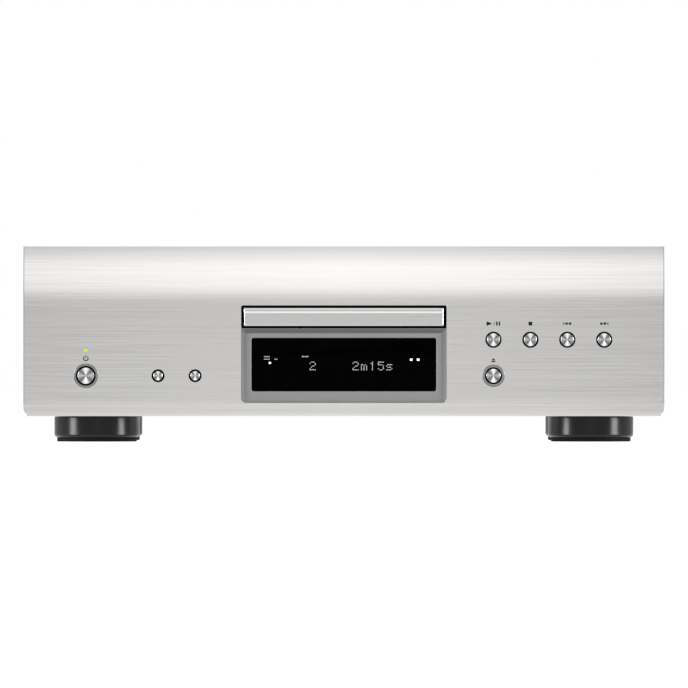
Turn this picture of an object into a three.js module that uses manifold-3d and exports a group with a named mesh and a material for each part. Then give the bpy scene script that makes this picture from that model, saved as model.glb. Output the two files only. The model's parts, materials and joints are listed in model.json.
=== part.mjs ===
import * as THREE from "three";
import { mergeVertices } from "three/addons/utils/BufferGeometryUtils.js";
import Module from "manifold-3d";

// A full-width compact disc player: millimetres, +Z up, front towards -Y.
// Inside this file Y = 0 is the flat face of the front panel and Z = 0 the surface it stands on.

const wasm = await Module();
wasm.setup();

// Clearances
const gap = 0.3;
const runningClearance = 0.25;
const gearClearance = 0.3;

// Front panel
const panelWidth = 434;
const panelHeight = 115.1;
const panelBottom = 17.3;
const panelWall = 3.5;
const panelDepth = 24;
const panelCurveHeight = 40;
const panelCurveSetback = 8.6;
const panelChinHeight = 8.5;
const panelChinSetback = 2.8;
const panelCornerRadius = 5.5;

// Casing
const sheet = 1.2;
const coverInset = 2;
const coverDrop = 1;
const coverLength = 296;
const baseFlange = 9;

// Feet
const footRadius = 28.9;
const footBevel = 1.5;
const padRadius = 27.1;
const padHeight = 2.8;
const footInset = 49.4;
const footFrontY = 46;
const footRearInset = 50;

// Disc tray and its lid
const wellRadius = 61;
const wellDepth = 5;
const smallWellRadius = 41;
const smallWellDepth = 1;
const trayRim = 4.95;
const trayHeight = 8;
const trayTail = 43;
const traySlotHalf = 22;
const lidOverhang = 1.7;
const lidHeight = 12.25;
const lidProud = 1.5;
const lidThickness = 4.1;
const lidBevel = 1.2;
const lidLedge = 3.5;

// Centre opening of the panel: disc lid above, display below
const openingChin = 9.2;
const openingFlange = 3;
const flangeThickness = 1.4;
const surroundSide = 1.6;
const surroundTop = 1.45;
const surroundBottom = 1.3;
const surroundSetback = 0.8;
const displayHeight = 50.4;
const windowSide = 6.8;
const windowLow = 7.8;
const windowHigh = 6.8;
const bezelRecess = 1.8;
const bezelRim = 0.4;
const bezelSideSlope = 3.6;
const bezelTopSlope = 3.4;
const bezelBottomSlope = 1.4;

// Front controls
const buttonTravel = 0.8;
const buttonProud = 1.2;
const buttonFlange = 1.2;
const powerInset = 42.3;
const layerPitch = 48.9;
const directPitch = 25.1;
const transportInset = 115.7;
const transportPitch = 25;
const transportHeight = 51.8;
const lowerRowHeight = 27.4;
const lightRise = 17.2;
const lightRadius = 1.4;
const boardThickness = 1.6;
const switchDepth = 6;
const switchSize = 6.2;

// Disc loader
const rackWidth = 3;
const rackInset = 7.8;
const rackHeight = 2;
const loaderWall = 3;
const loaderMargin = 6.3;
const loaderDrop = 24.2;
const loaderFloorThickness = 2.5;
const loaderTail = 12;

// Disc drive, swung down about its rear pivot
const pivotReach = 90;
const pivotRadius = 2;
const traverseReach = 24;
const traverseHalf = 40;
const traverseWall = 4;
const traverseHeight = 8.2;
const traverseDrop = 2.35;
const deckThickness = 2;
const crossbarReach = 14;
const crossbarDepth = 4;
const rodX = 22;
const rodRadius = 1.5;
const screwX = 31.5;
const screwRadius = 1.2;
const sledMotorRadius = 4.3;
const spindleMotorRadius = 11.5;
const spindleLength = 4;
const turntableRadius = 15;
const turntableRise = 2.25;
const hubConeRadius = 7.4;
const hubConeHeight = 2.5;
const clamperRadius = 14;
const clamperNeck = 8.5;
const bridgeThickness = 1.5;
const pickupHalf = 27;
const pickupLength = 30;
const pickupTopHalf = 15;
const lensOffset = 24;
const lensRadius = 3.4;

// Tray drive, in the space before the disc drive
const rackPinionRadius = 9;
const wheelRadius = 12;
const wheelRise = 9.5;
const wheelThickness = 3;
const pinionRadius = 4;
const pulleyRadius = 10;
const pulleyFlange = 1.5;
const beltRise = 3.5;
const beltWidth = 3.6;
const beltThickness = 1.1;
const motorPulleyRadius = 3.2;
const motorX = 8;
const motorRadius = 11;
const motorLength = 24;
const shaftRadius = 1;
const postRadius = 1.5;
const camNoseX = 10;
const camNoseRadius = 1.2;
const camThickness = 3;
const camTravel = 24;
const camDrop = 10.3;

// Rear sockets, placed from the sides of the casing and above the base
const inletInset = 41.5;
const inletRise = 31.5;
const analogInset = 63.5;
const digitalInset = 117.5;
const remoteInset = 173.5;
const socketRise = 39.5;
const jackLength = 9.4;
const inlet = { width: 27, height: 20, cavityWidth: 24, cavityHeight: 16.6, depth: 22, cavityDepth: 15 };
const phono = { radius: 4.15, collar: 5.6, spacing: 22 };
const optical = { width: 10, height: 10, wall: 1, depth: 14, offset: 22 };
const remote = { radius: 3.6, spacing: 14 };

// Heights and widths of the casing
const panelTop = panelBottom + panelHeight;
const panelHalf = panelWidth / 2;
const curveStart = panelTop - panelCurveHeight;
const coverHalf = panelHalf - coverInset;
const coverTop = panelTop - coverDrop;
const insideHalf = coverHalf - sheet - gap;
const baseTop = panelBottom + sheet;
const boardRise = baseTop + 7;

// Depths of the casing
const frameY = panelDepth + gap;
const frameBack = frameY + sheet;
const coverRear = frameY + coverLength;
const rearInner = coverRear - 2 * sheet;
const rearOuter = coverRear - sheet;
const frontMost = -lidProud;
const rearMost = rearOuter + jackLength;

// Centre opening
const trayHalf = wellRadius + trayRim;
const lidHalf = trayHalf + lidOverhang;
const openingHalf = lidHalf + gap / 2 + surroundSide;
const openingBottom = panelBottom + openingChin;
const openingSplit = openingBottom + displayHeight;
const lidBottom = openingSplit + surroundBottom + gap / 2;
const lidTop = lidBottom + lidHeight;
const openingTop = lidTop + gap / 2 + surroundTop;
const windowHalf = openingHalf - windowSide;
const windowBottom = openingBottom + windowLow;
const windowTop = openingSplit - windowHigh;
const flangeFront = panelWall + gap;
const flangeBack = flangeFront + flangeThickness;

// Controls and their boards
const powerX = -(panelHalf - powerInset);
const layerX = powerX + layerPitch;
const directX = layerX + directPitch;
const transportX = panelHalf - transportInset;
const lowerRowZ = panelBottom + lowerRowHeight;
const transportZ = panelBottom + transportHeight;
const lightZ = lowerRowZ + lightRise;
const switchBoardY = flangeBack + buttonTravel + gap + switchDepth + 1.7;

// Tray and loader
const discCentreY = wellRadius + 23;
const trayRear = discCentreY + wellRadius + trayTail;
const trayTop = lidTop - 2.05;
const trayBottom = trayTop - trayHeight;
const wellFloor = trayTop - wellDepth;
const smallWellFloor = wellFloor - smallWellDepth;
const rackX = -(trayHalf - rackInset);
const rackLevel = trayBottom - rackHeight;
const loaderHalf = trayHalf + loaderMargin;
const loaderInner = loaderHalf - loaderWall;
const loaderFront = frameBack + gap;
const loaderRear = trayRear + loaderTail;
const railTop = trayBottom - gap;
const wallTop = trayTop + 2.9;

// Disc drive
const traverseTop = trayBottom - traverseDrop;
const traverseBottom = traverseTop - traverseHeight;
const traverseInner = traverseHalf - traverseWall;
const traverseFront = discCentreY - traverseReach;
const deckBottom = traverseTop - deckThickness;
const pivotY = discCentreY + pivotReach;
const pivotZ = traverseTop - 4.2;
const traverseRear = pivotY + 4;
const rodEnd = traverseRear - 3;
const crossbarY = discCentreY + crossbarReach;
const loaderFloor = traverseTop - loaderDrop;
const floorTop = loaderFloor + loaderFloorThickness;
const turntableTop = wellFloor + turntableRise;
const hubConeTop = turntableTop + hubConeHeight;
const bridgeLow = wallTop + gap;
const bridgeHigh = bridgeLow + bridgeThickness;

// Tray drive
const trainY = traverseFront - 18;
const rackGearX = rackX + rackWidth + rackPinionRadius + gearClearance;
const pulleyGearX = rackGearX + wheelRadius + pinionRadius + gearClearance;
const wheelLow = floorTop + wheelRise;
const wheelHigh = wheelLow + wheelThickness;
const beltLow = floorTop + beltRise;
const beltHigh = beltLow + beltWidth;
const gearBore = postRadius + runningClearance;
const shaftBore = shaftRadius + runningClearance;

// Rear sockets
const inletX = -(insideHalf - inletInset);
const inletZ = baseTop + inletRise;
const analogX = insideHalf - analogInset;
const digitalX = insideHalf - digitalInset;
const opticalX = digitalX + optical.offset;
const remoteX = insideHalf - remoteInset;
const socketZ = baseTop + socketRise;
const inletFace = rearOuter + 2;
const socketBack = rearInner - gap;

const part = new THREE.Group();
part.position.y = -(frontMost + rearMost) / 2;
const casing = new THREE.Group();
const front = new THREE.Group();
const loader = new THREE.Group();
const electronics = new THREE.Group();
part.add(casing, front, loader, electronics);

// ---------- Shape helpers ----------

function solid(geometry) {
  const bare = geometry.clone();
  bare.deleteAttribute("normal");
  bare.deleteAttribute("uv");
  const merged = mergeVertices(bare, 1e-4);
  return new wasm.Manifold(
    new wasm.Mesh({
      numProp: 3,
      vertProperties: merged.attributes.position.array,
      triVerts: new Uint32Array(merged.index.array),
    }),
  );
}

function toGeometry(made) {
  const mesh = made.getMesh();
  const geometry = new THREE.BufferGeometry();
  geometry.setAttribute("position", new THREE.BufferAttribute(mesh.vertProperties, 3));
  geometry.setIndex(new THREE.BufferAttribute(mesh.triVerts, 1));
  geometry.computeVertexNormals();
  return geometry;
}

function join(...solids) {
  return solids.reduce((whole, next) => whole.add(next));
}

function cut(from, ...tools) {
  return tools.reduce((whole, next) => whole.subtract(next), from);
}

function box(x0, x1, y0, y1, z0, z1) {
  const geometry = new THREE.BoxGeometry(x1 - x0, y1 - y0, z1 - z0);
  geometry.translate((x0 + x1) / 2, (y0 + y1) / 2, (z0 + z1) / 2);
  return solid(geometry);
}

// A box whose front and back rectangles differ: each is [x0, x1, z0, z1].
function taper(frontRect, backRect, y0, y1) {
  const geometry = new THREE.BoxGeometry(1, 1, 1);
  const place = geometry.attributes.position;
  for (let i = 0; i < place.count; i += 1) {
    const rect = place.getY(i) < 0 ? frontRect : backRect;
    const x = place.getX(i) < 0 ? rect[0] : rect[1];
    const z = place.getZ(i) < 0 ? rect[2] : rect[3];
    place.setXYZ(i, x, place.getY(i) < 0 ? y0 : y1, z);
  }
  return solid(geometry);
}

// Outlines drawn as seen from the front (X, Z), extruded from y0 back to y1.
function frontOutline(shape, y0, y1, curveSegments = 6) {
  const geometry = new THREE.ExtrudeGeometry(shape, { depth: y1 - y0, bevelEnabled: false, curveSegments });
  geometry.rotateX(Math.PI / 2);
  geometry.translate(0, y1, 0);
  return solid(geometry);
}

// Outlines drawn as seen from the side (Y, Z), extruded from x0 to x1.
function sideOutline(shape, x0, x1) {
  const settings = { depth: x1 - x0, bevelEnabled: false, curveSegments: 6 };
  const geometry = new THREE.ExtrudeGeometry(shape, settings);
  geometry.applyMatrix4(
    new THREE.Matrix4().makeBasis(
      new THREE.Vector3(0, 1, 0),
      new THREE.Vector3(0, 0, 1),
      new THREE.Vector3(1, 0, 0),
    ),
  );
  geometry.translate(x0, 0, 0);
  return solid(geometry);
}

// Outlines drawn as seen from above (X, Y), extruded from z0 up to z1.
function topOutline(shape, z0, z1, curveSegments = 10) {
  const geometry = new THREE.ExtrudeGeometry(shape, { depth: z1 - z0, bevelEnabled: false, curveSegments });
  geometry.translate(0, 0, z0);
  return solid(geometry);
}

function roundedRect(x0, x1, y0, y1, lowRadius, highRadius = lowRadius) {
  const shape = new THREE.Shape();
  shape.moveTo(x0 + lowRadius, y0);
  shape.lineTo(x1 - lowRadius, y0);
  if (lowRadius > 0) shape.absarc(x1 - lowRadius, y0 + lowRadius, lowRadius, -Math.PI / 2, 0);
  shape.lineTo(x1, y1 - highRadius);
  if (highRadius > 0) shape.absarc(x1 - highRadius, y1 - highRadius, highRadius, 0, Math.PI / 2);
  shape.lineTo(x0 + highRadius, y1);
  if (highRadius > 0) shape.absarc(x0 + highRadius, y1 - highRadius, highRadius, Math.PI / 2, Math.PI);
  shape.lineTo(x0, y0 + lowRadius);
  if (lowRadius > 0) shape.absarc(x0 + lowRadius, y0 + lowRadius, lowRadius, Math.PI, 1.5 * Math.PI);
  return shape;
}

function polygon(points) {
  return new THREE.Shape(points.map(([u, v]) => new THREE.Vector2(u, v)));
}

// Turned pieces: profile points are [radius, height], anticlockwise, starting and ending on the axis.
function turned(profile, segments) {
  return new THREE.LatheGeometry(
    profile.map(([radius, height]) => new THREE.Vector2(radius, height)),
    segments,
  );
}

function turnedAlongY(profile, x = 0, z = 0, segments = 20) {
  return solid(turned(profile, segments).translate(x, 0, z));
}

function turnedAlongZ(profile, x = 0, y = 0, segments = 20) {
  return solid(turned(profile, segments).rotateX(Math.PI / 2).translate(x, y, 0));
}

function rod(radius, low, high) {
  return [[0, low], [radius, low], [radius, high], [0, high]];
}

function rodAlongX(radius, x0, x1, y, z, segments = 10) {
  const geometry = turned(rod(radius, x0, x1), segments).rotateZ(-Math.PI / 2);
  return solid(geometry.translate(0, y, z));
}

function piece(group, name, made, look, position) {
  const mesh = new THREE.Mesh(toGeometry(made), new THREE.MeshStandardMaterial(look));
  mesh.name = name;
  if (position) mesh.position.set(...position);
  group.add(mesh);
  return mesh;
}

const looks = {
  panel: { color: 0xc2c0bd, roughness: 0.35, metalness: 0.9 },
  cap: { color: 0xd2d0cc, roughness: 0.25, metalness: 1 },
  ring: { color: 0x8d8c8a, roughness: 0.3, metalness: 1 },
  bezel: { color: 0x8c8b89, roughness: 0.45, metalness: 0.6 },
  lens: { color: 0x050506, roughness: 0.05, metalness: 0 },
  black: { color: 0x17171a, roughness: 0.5, metalness: 0 },
  cover: { color: 0xb4b3b1, roughness: 0.5, metalness: 0.6 },
  steel: { color: 0xa9abad, roughness: 0.4, metalness: 0.9 },
  foot: { color: 0x26262a, roughness: 0.22, metalness: 0 },
  rubber: { color: 0x141414, roughness: 0.9, metalness: 0 },
  board: { color: 0x1f5a34, roughness: 0.6, metalness: 0 },
  white: { color: 0xe4e2da, roughness: 0.5, metalness: 0 },
  glass: { color: 0x223038, roughness: 0.1, metalness: 0 },
  light: { color: 0xc8f03c, roughness: 0.4, metalness: 0 },
  dark: { color: 0x2b2c2f, roughness: 0.6, metalness: 0 },
};

// ---------- Casing ----------

function setbackAt(z) {
  if (z > curveStart) return panelCurveSetback * ((z - curveStart) / panelCurveHeight) ** 3;
  const chin = (panelBottom + panelChinHeight - z) / panelChinHeight;
  return chin > 0 ? panelChinSetback * chin ** 2 : 0;
}

// The panel's front profile from low to high, moved back by offset.
function faceProfile(low, high, offset) {
  const levels = [low];
  for (let i = 1; i < 5; i += 1) levels.push(panelBottom + (panelChinHeight * i) / 5);
  levels.push(panelBottom + panelChinHeight, curveStart);
  for (let i = 2; i < 10; i += 1) levels.push(curveStart + (panelCurveHeight * i) / 10);
  levels.push(high);
  return levels.filter((z) => z >= low && z <= high).map((z) => [setbackAt(z) + offset, z]);
}

function makeFrontPanel() {
  const outerProfile = faceProfile(panelBottom, panelTop, 0);
  outerProfile.push([panelDepth, panelTop], [panelDepth, panelBottom]);
  const innerLow = panelBottom + panelWall;
  const innerHigh = panelTop - panelWall;
  const innerProfile = faceProfile(innerLow, innerHigh, panelWall);
  innerProfile.push([panelDepth + 1, innerHigh], [panelDepth + 1, innerLow]);
  const outer = sideOutline(polygon(outerProfile.reverse()), -panelHalf, panelHalf);
  const inner = sideOutline(polygon(innerProfile.reverse()), -panelHalf + panelWall, panelHalf - panelWall);
  const silhouette = roundedRect(-panelHalf, panelHalf, panelBottom, panelTop, panelCornerRadius, 0);
  const opening = roundedRect(
    -openingHalf - gap / 2,
    openingHalf + gap / 2,
    openingBottom - gap / 2,
    openingTop + gap / 2,
    2.3,
    0.8,
  );
  const holes = [frontOutline(opening, -1, panelWall + 1)];
  for (const control of controls) {
    const radius = control.ringRadius ? control.ringRadius + gap / 2 : control.holeRadius;
    holes.push(turnedAlongY(rod(radius, -1, panelWall + 1), control.x, control.z));
  }
  holes.push(turnedAlongY(rod(lightRadius + gap / 2, -1, panelWall + 1), powerX, lightZ, 20));
  const shell = cut(outer, inner).intersect(frontOutline(silhouette, -1, panelDepth + 1, 8));
  piece(casing, "front_panel", cut(shell, ...holes), looks.panel);
}

function makeFrontFrame() {
  const low = baseTop + gap;
  const high = coverTop - sheet - gap;
  const plate = box(-insideHalf, insideHalf, frameY, frameY + sheet, low, high);
  const loaderWindow = box(
    -loaderHalf - 4,
    loaderHalf + 4,
    frameY - 1,
    frameBack + 1,
    openingBottom,
    wallTop + 2,
  );
  const slotHalf = 30;
  const wireSlots = [-1, 1].map((side) => {
    const middle = (side * (loaderHalf + insideHalf)) / 2;
    const outline = roundedRect(middle - slotHalf, middle + slotHalf, panelTop - 40, panelTop - 20, 4);
    return frontOutline(outline, frameY - 1, frameBack + 1);
  });
  piece(casing, "front_frame", cut(plate, loaderWindow, ...wireSlots), looks.steel);
}

function makeBase() {
  const plate = box(-insideHalf, insideHalf, frameY, rearOuter, panelBottom, baseTop);
  const flanges = [-1, 1].map((side) => {
    const inner = side * (insideHalf - sheet);
    const outer = side * insideHalf;
    const low = Math.min(inner, outer);
    const high = Math.max(inner, outer);
    return box(low, high, frameBack + gap, rearInner - gap, panelBottom, baseTop + baseFlange);
  });
  piece(casing, "base_chassis", join(plate, ...flanges), looks.steel);
}

function makeCover() {
  const outer = box(-coverHalf, coverHalf, frameY, coverRear, panelBottom, coverTop);
  const hollow = box(
    -coverHalf + sheet,
    coverHalf - sheet,
    frameY - 1,
    coverRear + 1,
    panelBottom - 1,
    coverTop - sheet,
  );
  piece(casing, "top_cover", cut(outer, hollow), looks.cover);
}

function makeRearPanel() {
  const plate = box(-insideHalf, insideHalf, rearInner, rearOuter, baseTop + gap, coverTop - sheet - gap);
  const through = (x0, x1, z0, z1) => box(x0, x1, rearInner - 1, rearOuter + 1, z0, z1);
  const around = (x, z, width, height) =>
    through(x - width / 2 - gap, x + width / 2 + gap, z - height / 2 - gap, z + height / 2 + gap);
  const holes = [
    around(inletX, inletZ, inlet.width, inlet.height),
    around(opticalX, socketZ, optical.width, optical.height),
  ];
  const round = (x, z, radius) => {
    holes.push(turnedAlongY(rod(radius, rearInner - 1, rearOuter + 1), x, z, 16));
  };
  for (const side of [-1, 1]) round(analogX + (side * phono.spacing) / 2, socketZ, phono.collar + gap);
  round(digitalX, socketZ, phono.collar + gap);
  for (const side of [-1, 1]) round(remoteX + (side * remote.spacing) / 2, socketZ, remote.radius + gap);
  piece(casing, "rear_panel", cut(plate, ...holes), looks.cover);
}

function makeFeet() {
  const top = panelBottom - gap;
  const drum = [
    [0, padHeight + 0.1],
    [footRadius - footBevel, padHeight + 0.1],
    [footRadius, padHeight + 1.2],
    [footRadius, top - 0.9],
    [footRadius - 0.9, top],
    [0, top],
  ];
  const pad = [[0, 0], [padRadius - 0.5, 0], [padRadius, 0.5], [padRadius, padHeight], [0, padHeight]];
  const rows = [["front", footFrontY], ["rear", coverRear - footRearInset]];
  for (const [row, y] of rows) {
    for (const [side, x] of [["left", footInset - panelHalf], ["right", panelHalf - footInset]]) {
      piece(casing, `foot_${row}_${side}`, turnedAlongZ(drum, 0, 0, 28), looks.foot, [x, y, 0]);
      piece(casing, `foot_pad_${row}_${side}`, turnedAlongZ(pad, 0, 0, 28), looks.rubber, [x, y, 0]);
    }
  }
}

// ---------- Front controls ----------

const controls = [
  { name: "power_button", x: powerX, z: lowerRowZ, capRadius: 5.75, holeRadius: 6.7, ringRadius: 7.9 },
  { name: "layer_button", x: layerX, z: lowerRowZ, capRadius: 3.2, holeRadius: 4.2 },
  { name: "direct_button", x: directX, z: lowerRowZ, capRadius: 3.2, holeRadius: 4.2 },
  { name: "eject_button", x: transportX, z: lowerRowZ, capRadius: 4.9, holeRadius: 5.7, ringRadius: 7.2 },
];
["play_pause", "stop", "previous", "next"].forEach((name, index) => {
  controls.push({
    name: `${name}_button`,
    x: transportX + index * transportPitch,
    z: transportZ,
    capRadius: 4.55,
    holeRadius: 5.3,
  });
});

function makeButtons() {
  const stemBack = switchBoardY - switchDepth - buttonTravel - gap;
  for (const control of controls) {
    const dish = control.capRadius * 0.06;
    const profile = [
      [0, dish - buttonProud],
      [control.capRadius - 0.5, -buttonProud],
      [control.capRadius, 0.5 - buttonProud],
      [control.capRadius, flangeFront],
      [control.holeRadius + 1, flangeFront],
      [control.holeRadius + 1, flangeFront + buttonFlange],
      [1.6, flangeFront + buttonFlange],
      [1.6, stemBack],
      [0, stemBack],
    ];
    piece(front, control.name, turnedAlongY(profile), looks.cap, [control.x, 0, control.z]);
    if (!control.ringRadius) continue;
    const ring = [
      [control.holeRadius, -0.2],
      [control.holeRadius + 0.3, -0.5],
      [control.ringRadius - 0.3, -0.5],
      [control.ringRadius, -0.2],
      [control.ringRadius, panelWall],
      [control.holeRadius, panelWall],
      [control.holeRadius, -0.2],
    ];
    const ringName = control.name.replace("button", "ring");
    piece(front, ringName, turnedAlongY(ring), looks.ring, [control.x, 0, control.z]);
  }
}

function makePowerLight() {
  const profile = [
    [0, -0.3],
    [lightRadius - 0.3, -0.2],
    [lightRadius, 0.1],
    [lightRadius, panelWall + gap],
    [lightRadius + 0.8, panelWall + gap],
    [lightRadius + 0.8, switchBoardY - gap],
    [0, switchBoardY - gap],
  ];
  piece(front, "power_light", turnedAlongY(profile, 0, 0, 20), looks.light, [powerX, 0, lightZ]);
}

// A circuit board behind the panel with one switch behind each control and posts back to the frame.
function switchBoard(name, members, low, high) {
  const xs = members.map((control) => control.x);
  const left = Math.min(...xs) - 14;
  const right = Math.max(...xs) + 14;
  const back = switchBoardY + boardThickness;
  const half = switchSize / 2;
  const plate = box(left, right, switchBoardY, back, low, high);
  const switches = members.map(({ x, z }) =>
    box(x - half, x + half, switchBoardY - switchDepth, switchBoardY + 0.5, z - half, z + half),
  );
  const posts = [left + 4, right - 4].flatMap((x) =>
    [low + 4, high - 4].map((z) => turnedAlongY(rod(2.5, back - 0.5, frameY - gap), x, z, 12)),
  );
  piece(front, name, join(plate, ...switches, ...posts), looks.board);
}

function makeSwitchBoards() {
  const left = controls.filter((control) => control.x < 0);
  const right = controls.filter((control) => control.x > 0);
  switchBoard("left_switch_board", left, lowerRowZ - 14, lightZ + 10);
  switchBoard("right_switch_board", right, lowerRowZ - 14, transportZ + 14);
}

function makeTraySurround() {
  const half = openingHalf;
  const low = openingSplit + gap / 2;
  const outline = roundedRect(-half, half, low, openingTop, 0, 0.7);
  const face = frontOutline(outline, surroundSetback, panelWall + 1);
  const flange = box(
    -half - openingFlange,
    half + openingFlange,
    flangeFront,
    flangeBack,
    low,
    openingTop + openingFlange,
  );
  const sleeve = box(-half, half, panelWall, frameY - gap, low, openingTop);
  const mouthHalf = lidHalf + gap / 2;
  const mouth = taper(
    [-mouthHalf, mouthHalf, lidBottom - gap / 2, lidTop + gap / 2],
    [-trayHalf - 0.8, trayHalf + 0.8, lidBottom + 0.3, lidTop - 0.3],
    4,
    frameY + 1,
  );
  const frontMouth = box(-mouthHalf, mouthHalf, -1, 4.01, lidBottom - gap / 2, lidTop + gap / 2);
  const wayHigh = lidBottom + 2;
  const rackWay = box(rackX - 1.5, rackX + rackWidth + 1.5, 2, frameY + 1, lidBottom - gap / 2, wayHigh);
  piece(front, "tray_surround", cut(join(face, flange, sleeve), mouth, frontMouth, rackWay), looks.black);
}

function makeDisplayBezel() {
  const half = openingHalf;
  const high = openingSplit - gap / 2;
  const body = frontOutline(roundedRect(-half, half, openingBottom, high, 2.2, 0), 0, flangeBack);
  const flange = box(
    -half - openingFlange,
    half + openingFlange,
    flangeFront,
    flangeBack,
    openingBottom - openingFlange,
    high,
  );
    const slope = taper(
    [-half + bezelRim, half - bezelRim, openingBottom + bezelRim, high - bezelRim],
    [-half + bezelSideSlope, half - bezelSideSlope, openingBottom + bezelBottomSlope, high - bezelTopSlope],
    0,
    bezelRecess,
  );
  const entryHalf = half - bezelRim;
  const entryLow = openingBottom + bezelRim;
  const slopeEntry = box(-entryHalf, entryHalf, -1, 0.001, entryLow, high - bezelRim);
  const window = frontOutline(
    roundedRect(-windowHalf, windowHalf, windowBottom, windowTop, 1),
    -1,
    panelWall + 3,
  );
  piece(front, "display_bezel", cut(join(body, flange), slope, slopeEntry, window), looks.bezel);
}

function makeDisplay() {
  const lensHalf = windowHalf - gap / 2;
  const lensFront = bezelRecess + 0.5;
  const flangeY = flangeBack + gap;
  const pane = frontOutline(
    roundedRect(-lensHalf, lensHalf, windowBottom + gap / 2, windowTop - gap / 2, 0.9),
    lensFront,
    flangeY + 0.5,
  );
  const backing = box(-lensHalf - 2, lensHalf + 2, flangeY, flangeY + 1, windowBottom - 2, windowTop + 2);
  piece(front, "display_lens", join(pane, backing), looks.lens);
  const tubeY = flangeY + 1 + gap;
  const tube = box(6 - windowHalf, windowHalf - 6, tubeY, tubeY + 4, windowBottom + 3, windowTop - 3);
  const boardFront = tubeY + 4 + 2.2;
  const plate = box(
    -windowHalf - 1.4,
    windowHalf + 1.4,
    boardFront,
    boardFront + boardThickness,
    windowBottom - 4,
    windowTop + 2,
  );
  const pins = [-1, 1].map((side) =>
    box(
      side * (windowHalf - 8) - 1,
      side * (windowHalf - 8) + 1,
      tubeY + 3,
      boardFront + 0.5,
      windowBottom + 5,
      windowTop - 5,
    ),
  );
  const posts = [-1, 1].map((side) =>
    turnedAlongY(rod(2.5, boardFront + 1, frameY - gap), side * (windowHalf - 2.6), windowBottom - 1, 12),
  );
  piece(front, "display_module", join(tube, plate, ...pins, ...posts), looks.glass);
}

// ---------- Disc loader ----------

function makeTray() {
  const block = box(-trayHalf, trayHalf, lidThickness - lidProud + gap, trayRear, trayBottom, trayTop);
  const well = turnedAlongZ(rod(wellRadius, wellFloor, trayTop + 1), 0, discCentreY, 40);
  const smallWell = turnedAlongZ(rod(smallWellRadius, smallWellFloor, trayTop + 1), 0, discCentreY, 32);
  const slotRound = turnedAlongZ(rod(traySlotHalf, trayBottom - 1, trayTop + 1), 0, discCentreY, 20);
  const slot = box(-traySlotHalf, traySlotHalf, discCentreY, trayRear + 1, trayBottom - 1, trayTop + 1);
  const fingers = [-1, 1].map((side) =>
    turnedAlongZ(
      rod(12, smallWellFloor, trayTop + 1),
      side * (wellRadius - 13),
      discCentreY - wellRadius + 18,
      16,
    ),
  );
  const rack = box(
    rackX,
    rackX + rackWidth,
    trainY - rackPinionRadius,
    trayRear,
    rackLevel,
    trayBottom + 0.5,
  );
  const tray = cut(join(block, rack), well, smallWell, slotRound, slot, ...fingers);
  piece(loader, "disc_tray", tray, looks.dark);
}

function makeTrayLid() {
  const stepZ = lidTop - lidLedge;
  const backY = lidThickness - lidProud;
  const faceY = lidBevel - lidProud;
  const ledgeY = faceY + 0.5;
  const face = taper(
    [-lidHalf + lidBevel, lidHalf - lidBevel, lidBottom + lidBevel, stepZ],
    [-lidHalf, lidHalf, lidBottom, stepZ + lidBevel],
    -lidProud,
    faceY,
  );
  const ledge = taper(
    [-lidHalf + lidBevel, lidHalf - lidBevel, stepZ - 2, lidTop - lidBevel],
    [-lidHalf, lidHalf, stepZ - 2, lidTop],
    ledgeY - 1.1,
    ledgeY,
  );
  const body = box(-lidHalf, lidHalf, faceY, backY, lidBottom, stepZ + 0.5);
  const upper = box(-lidHalf, lidHalf, ledgeY, backY, stepZ, lidTop);
  piece(loader, "tray_lid", join(face, ledge, body, upper), looks.panel);
}

function makeLoaderFrame() {
  const floor = box(-loaderHalf, loaderHalf, loaderFront, loaderRear, loaderFloor, floorTop);
  const pit = box(
    -traverseHalf - 6,
    traverseHalf + 6,
    traverseFront - 7,
    loaderRear - 12,
    loaderFloor - 1,
    floorTop + 1,
  );
  const motorHole = turnedAlongZ(rod(motorRadius + gap, loaderFloor - 1, floorTop + 1), motorX, trainY, 28);
  const solids = [];
  for (const side of [-1, 1]) {
    const range = (near, far) => (side > 0 ? [near, far] : [-far, -near]);
    const [wall0, wall1] = range(loaderInner, loaderHalf);
    solids.push(box(wall0, wall1, loaderFront, loaderRear, loaderFloor, wallTop));
    const [rail0, rail1] = range(trayHalf - 2.6, loaderInner + 0.5);
    solids.push(box(rail0, rail1, loaderFront, loaderRear, railTop - 2.2, railTop));
    const [tab0, tab1] = range(trayHalf - 2.2, loaderInner + 0.5);
    for (const tabY of [loaderFront + 4, loaderFront + 60]) {
      solids.push(box(tab0, tab1, tabY, tabY + 9, trayTop + gap, wallTop));
    }
    const [ear0, ear1] = range(traverseHalf + 0.6, traverseHalf + 3.6);
    const ear = box(ear0, ear1, pivotY - 5, loaderRear - 4, floorTop - 1, pivotZ + 4);
    const bearing = rodAlongX(pivotRadius + runningClearance, ear0 - 1, ear1 + 1, pivotY, pivotZ);
    solids.push(cut(ear, bearing));
    const [tie0, tie1] = range(traverseHalf + 1, loaderInner + 0.5);
    solids.push(box(tie0, tie1, loaderRear - 13, loaderRear, loaderFloor, floorTop));
    const [leg0, leg1] = range(loaderHalf - 8, loaderHalf);
    for (const legY of [loaderFront + 6, loaderRear - 16]) {
      solids.push(box(leg0, leg1, legY, legY + 8, baseTop + gap, loaderFloor + 1));
    }
  }
  const posts = [rackGearX, pulleyGearX].map((x) =>
    turnedAlongZ(rod(postRadius, loaderFloor + 1, rackLevel), x, trainY, 12),
  );
  piece(loader, "loader_frame", join(cut(floor, pit, motorHole), ...solids, ...posts), looks.black);
}

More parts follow.
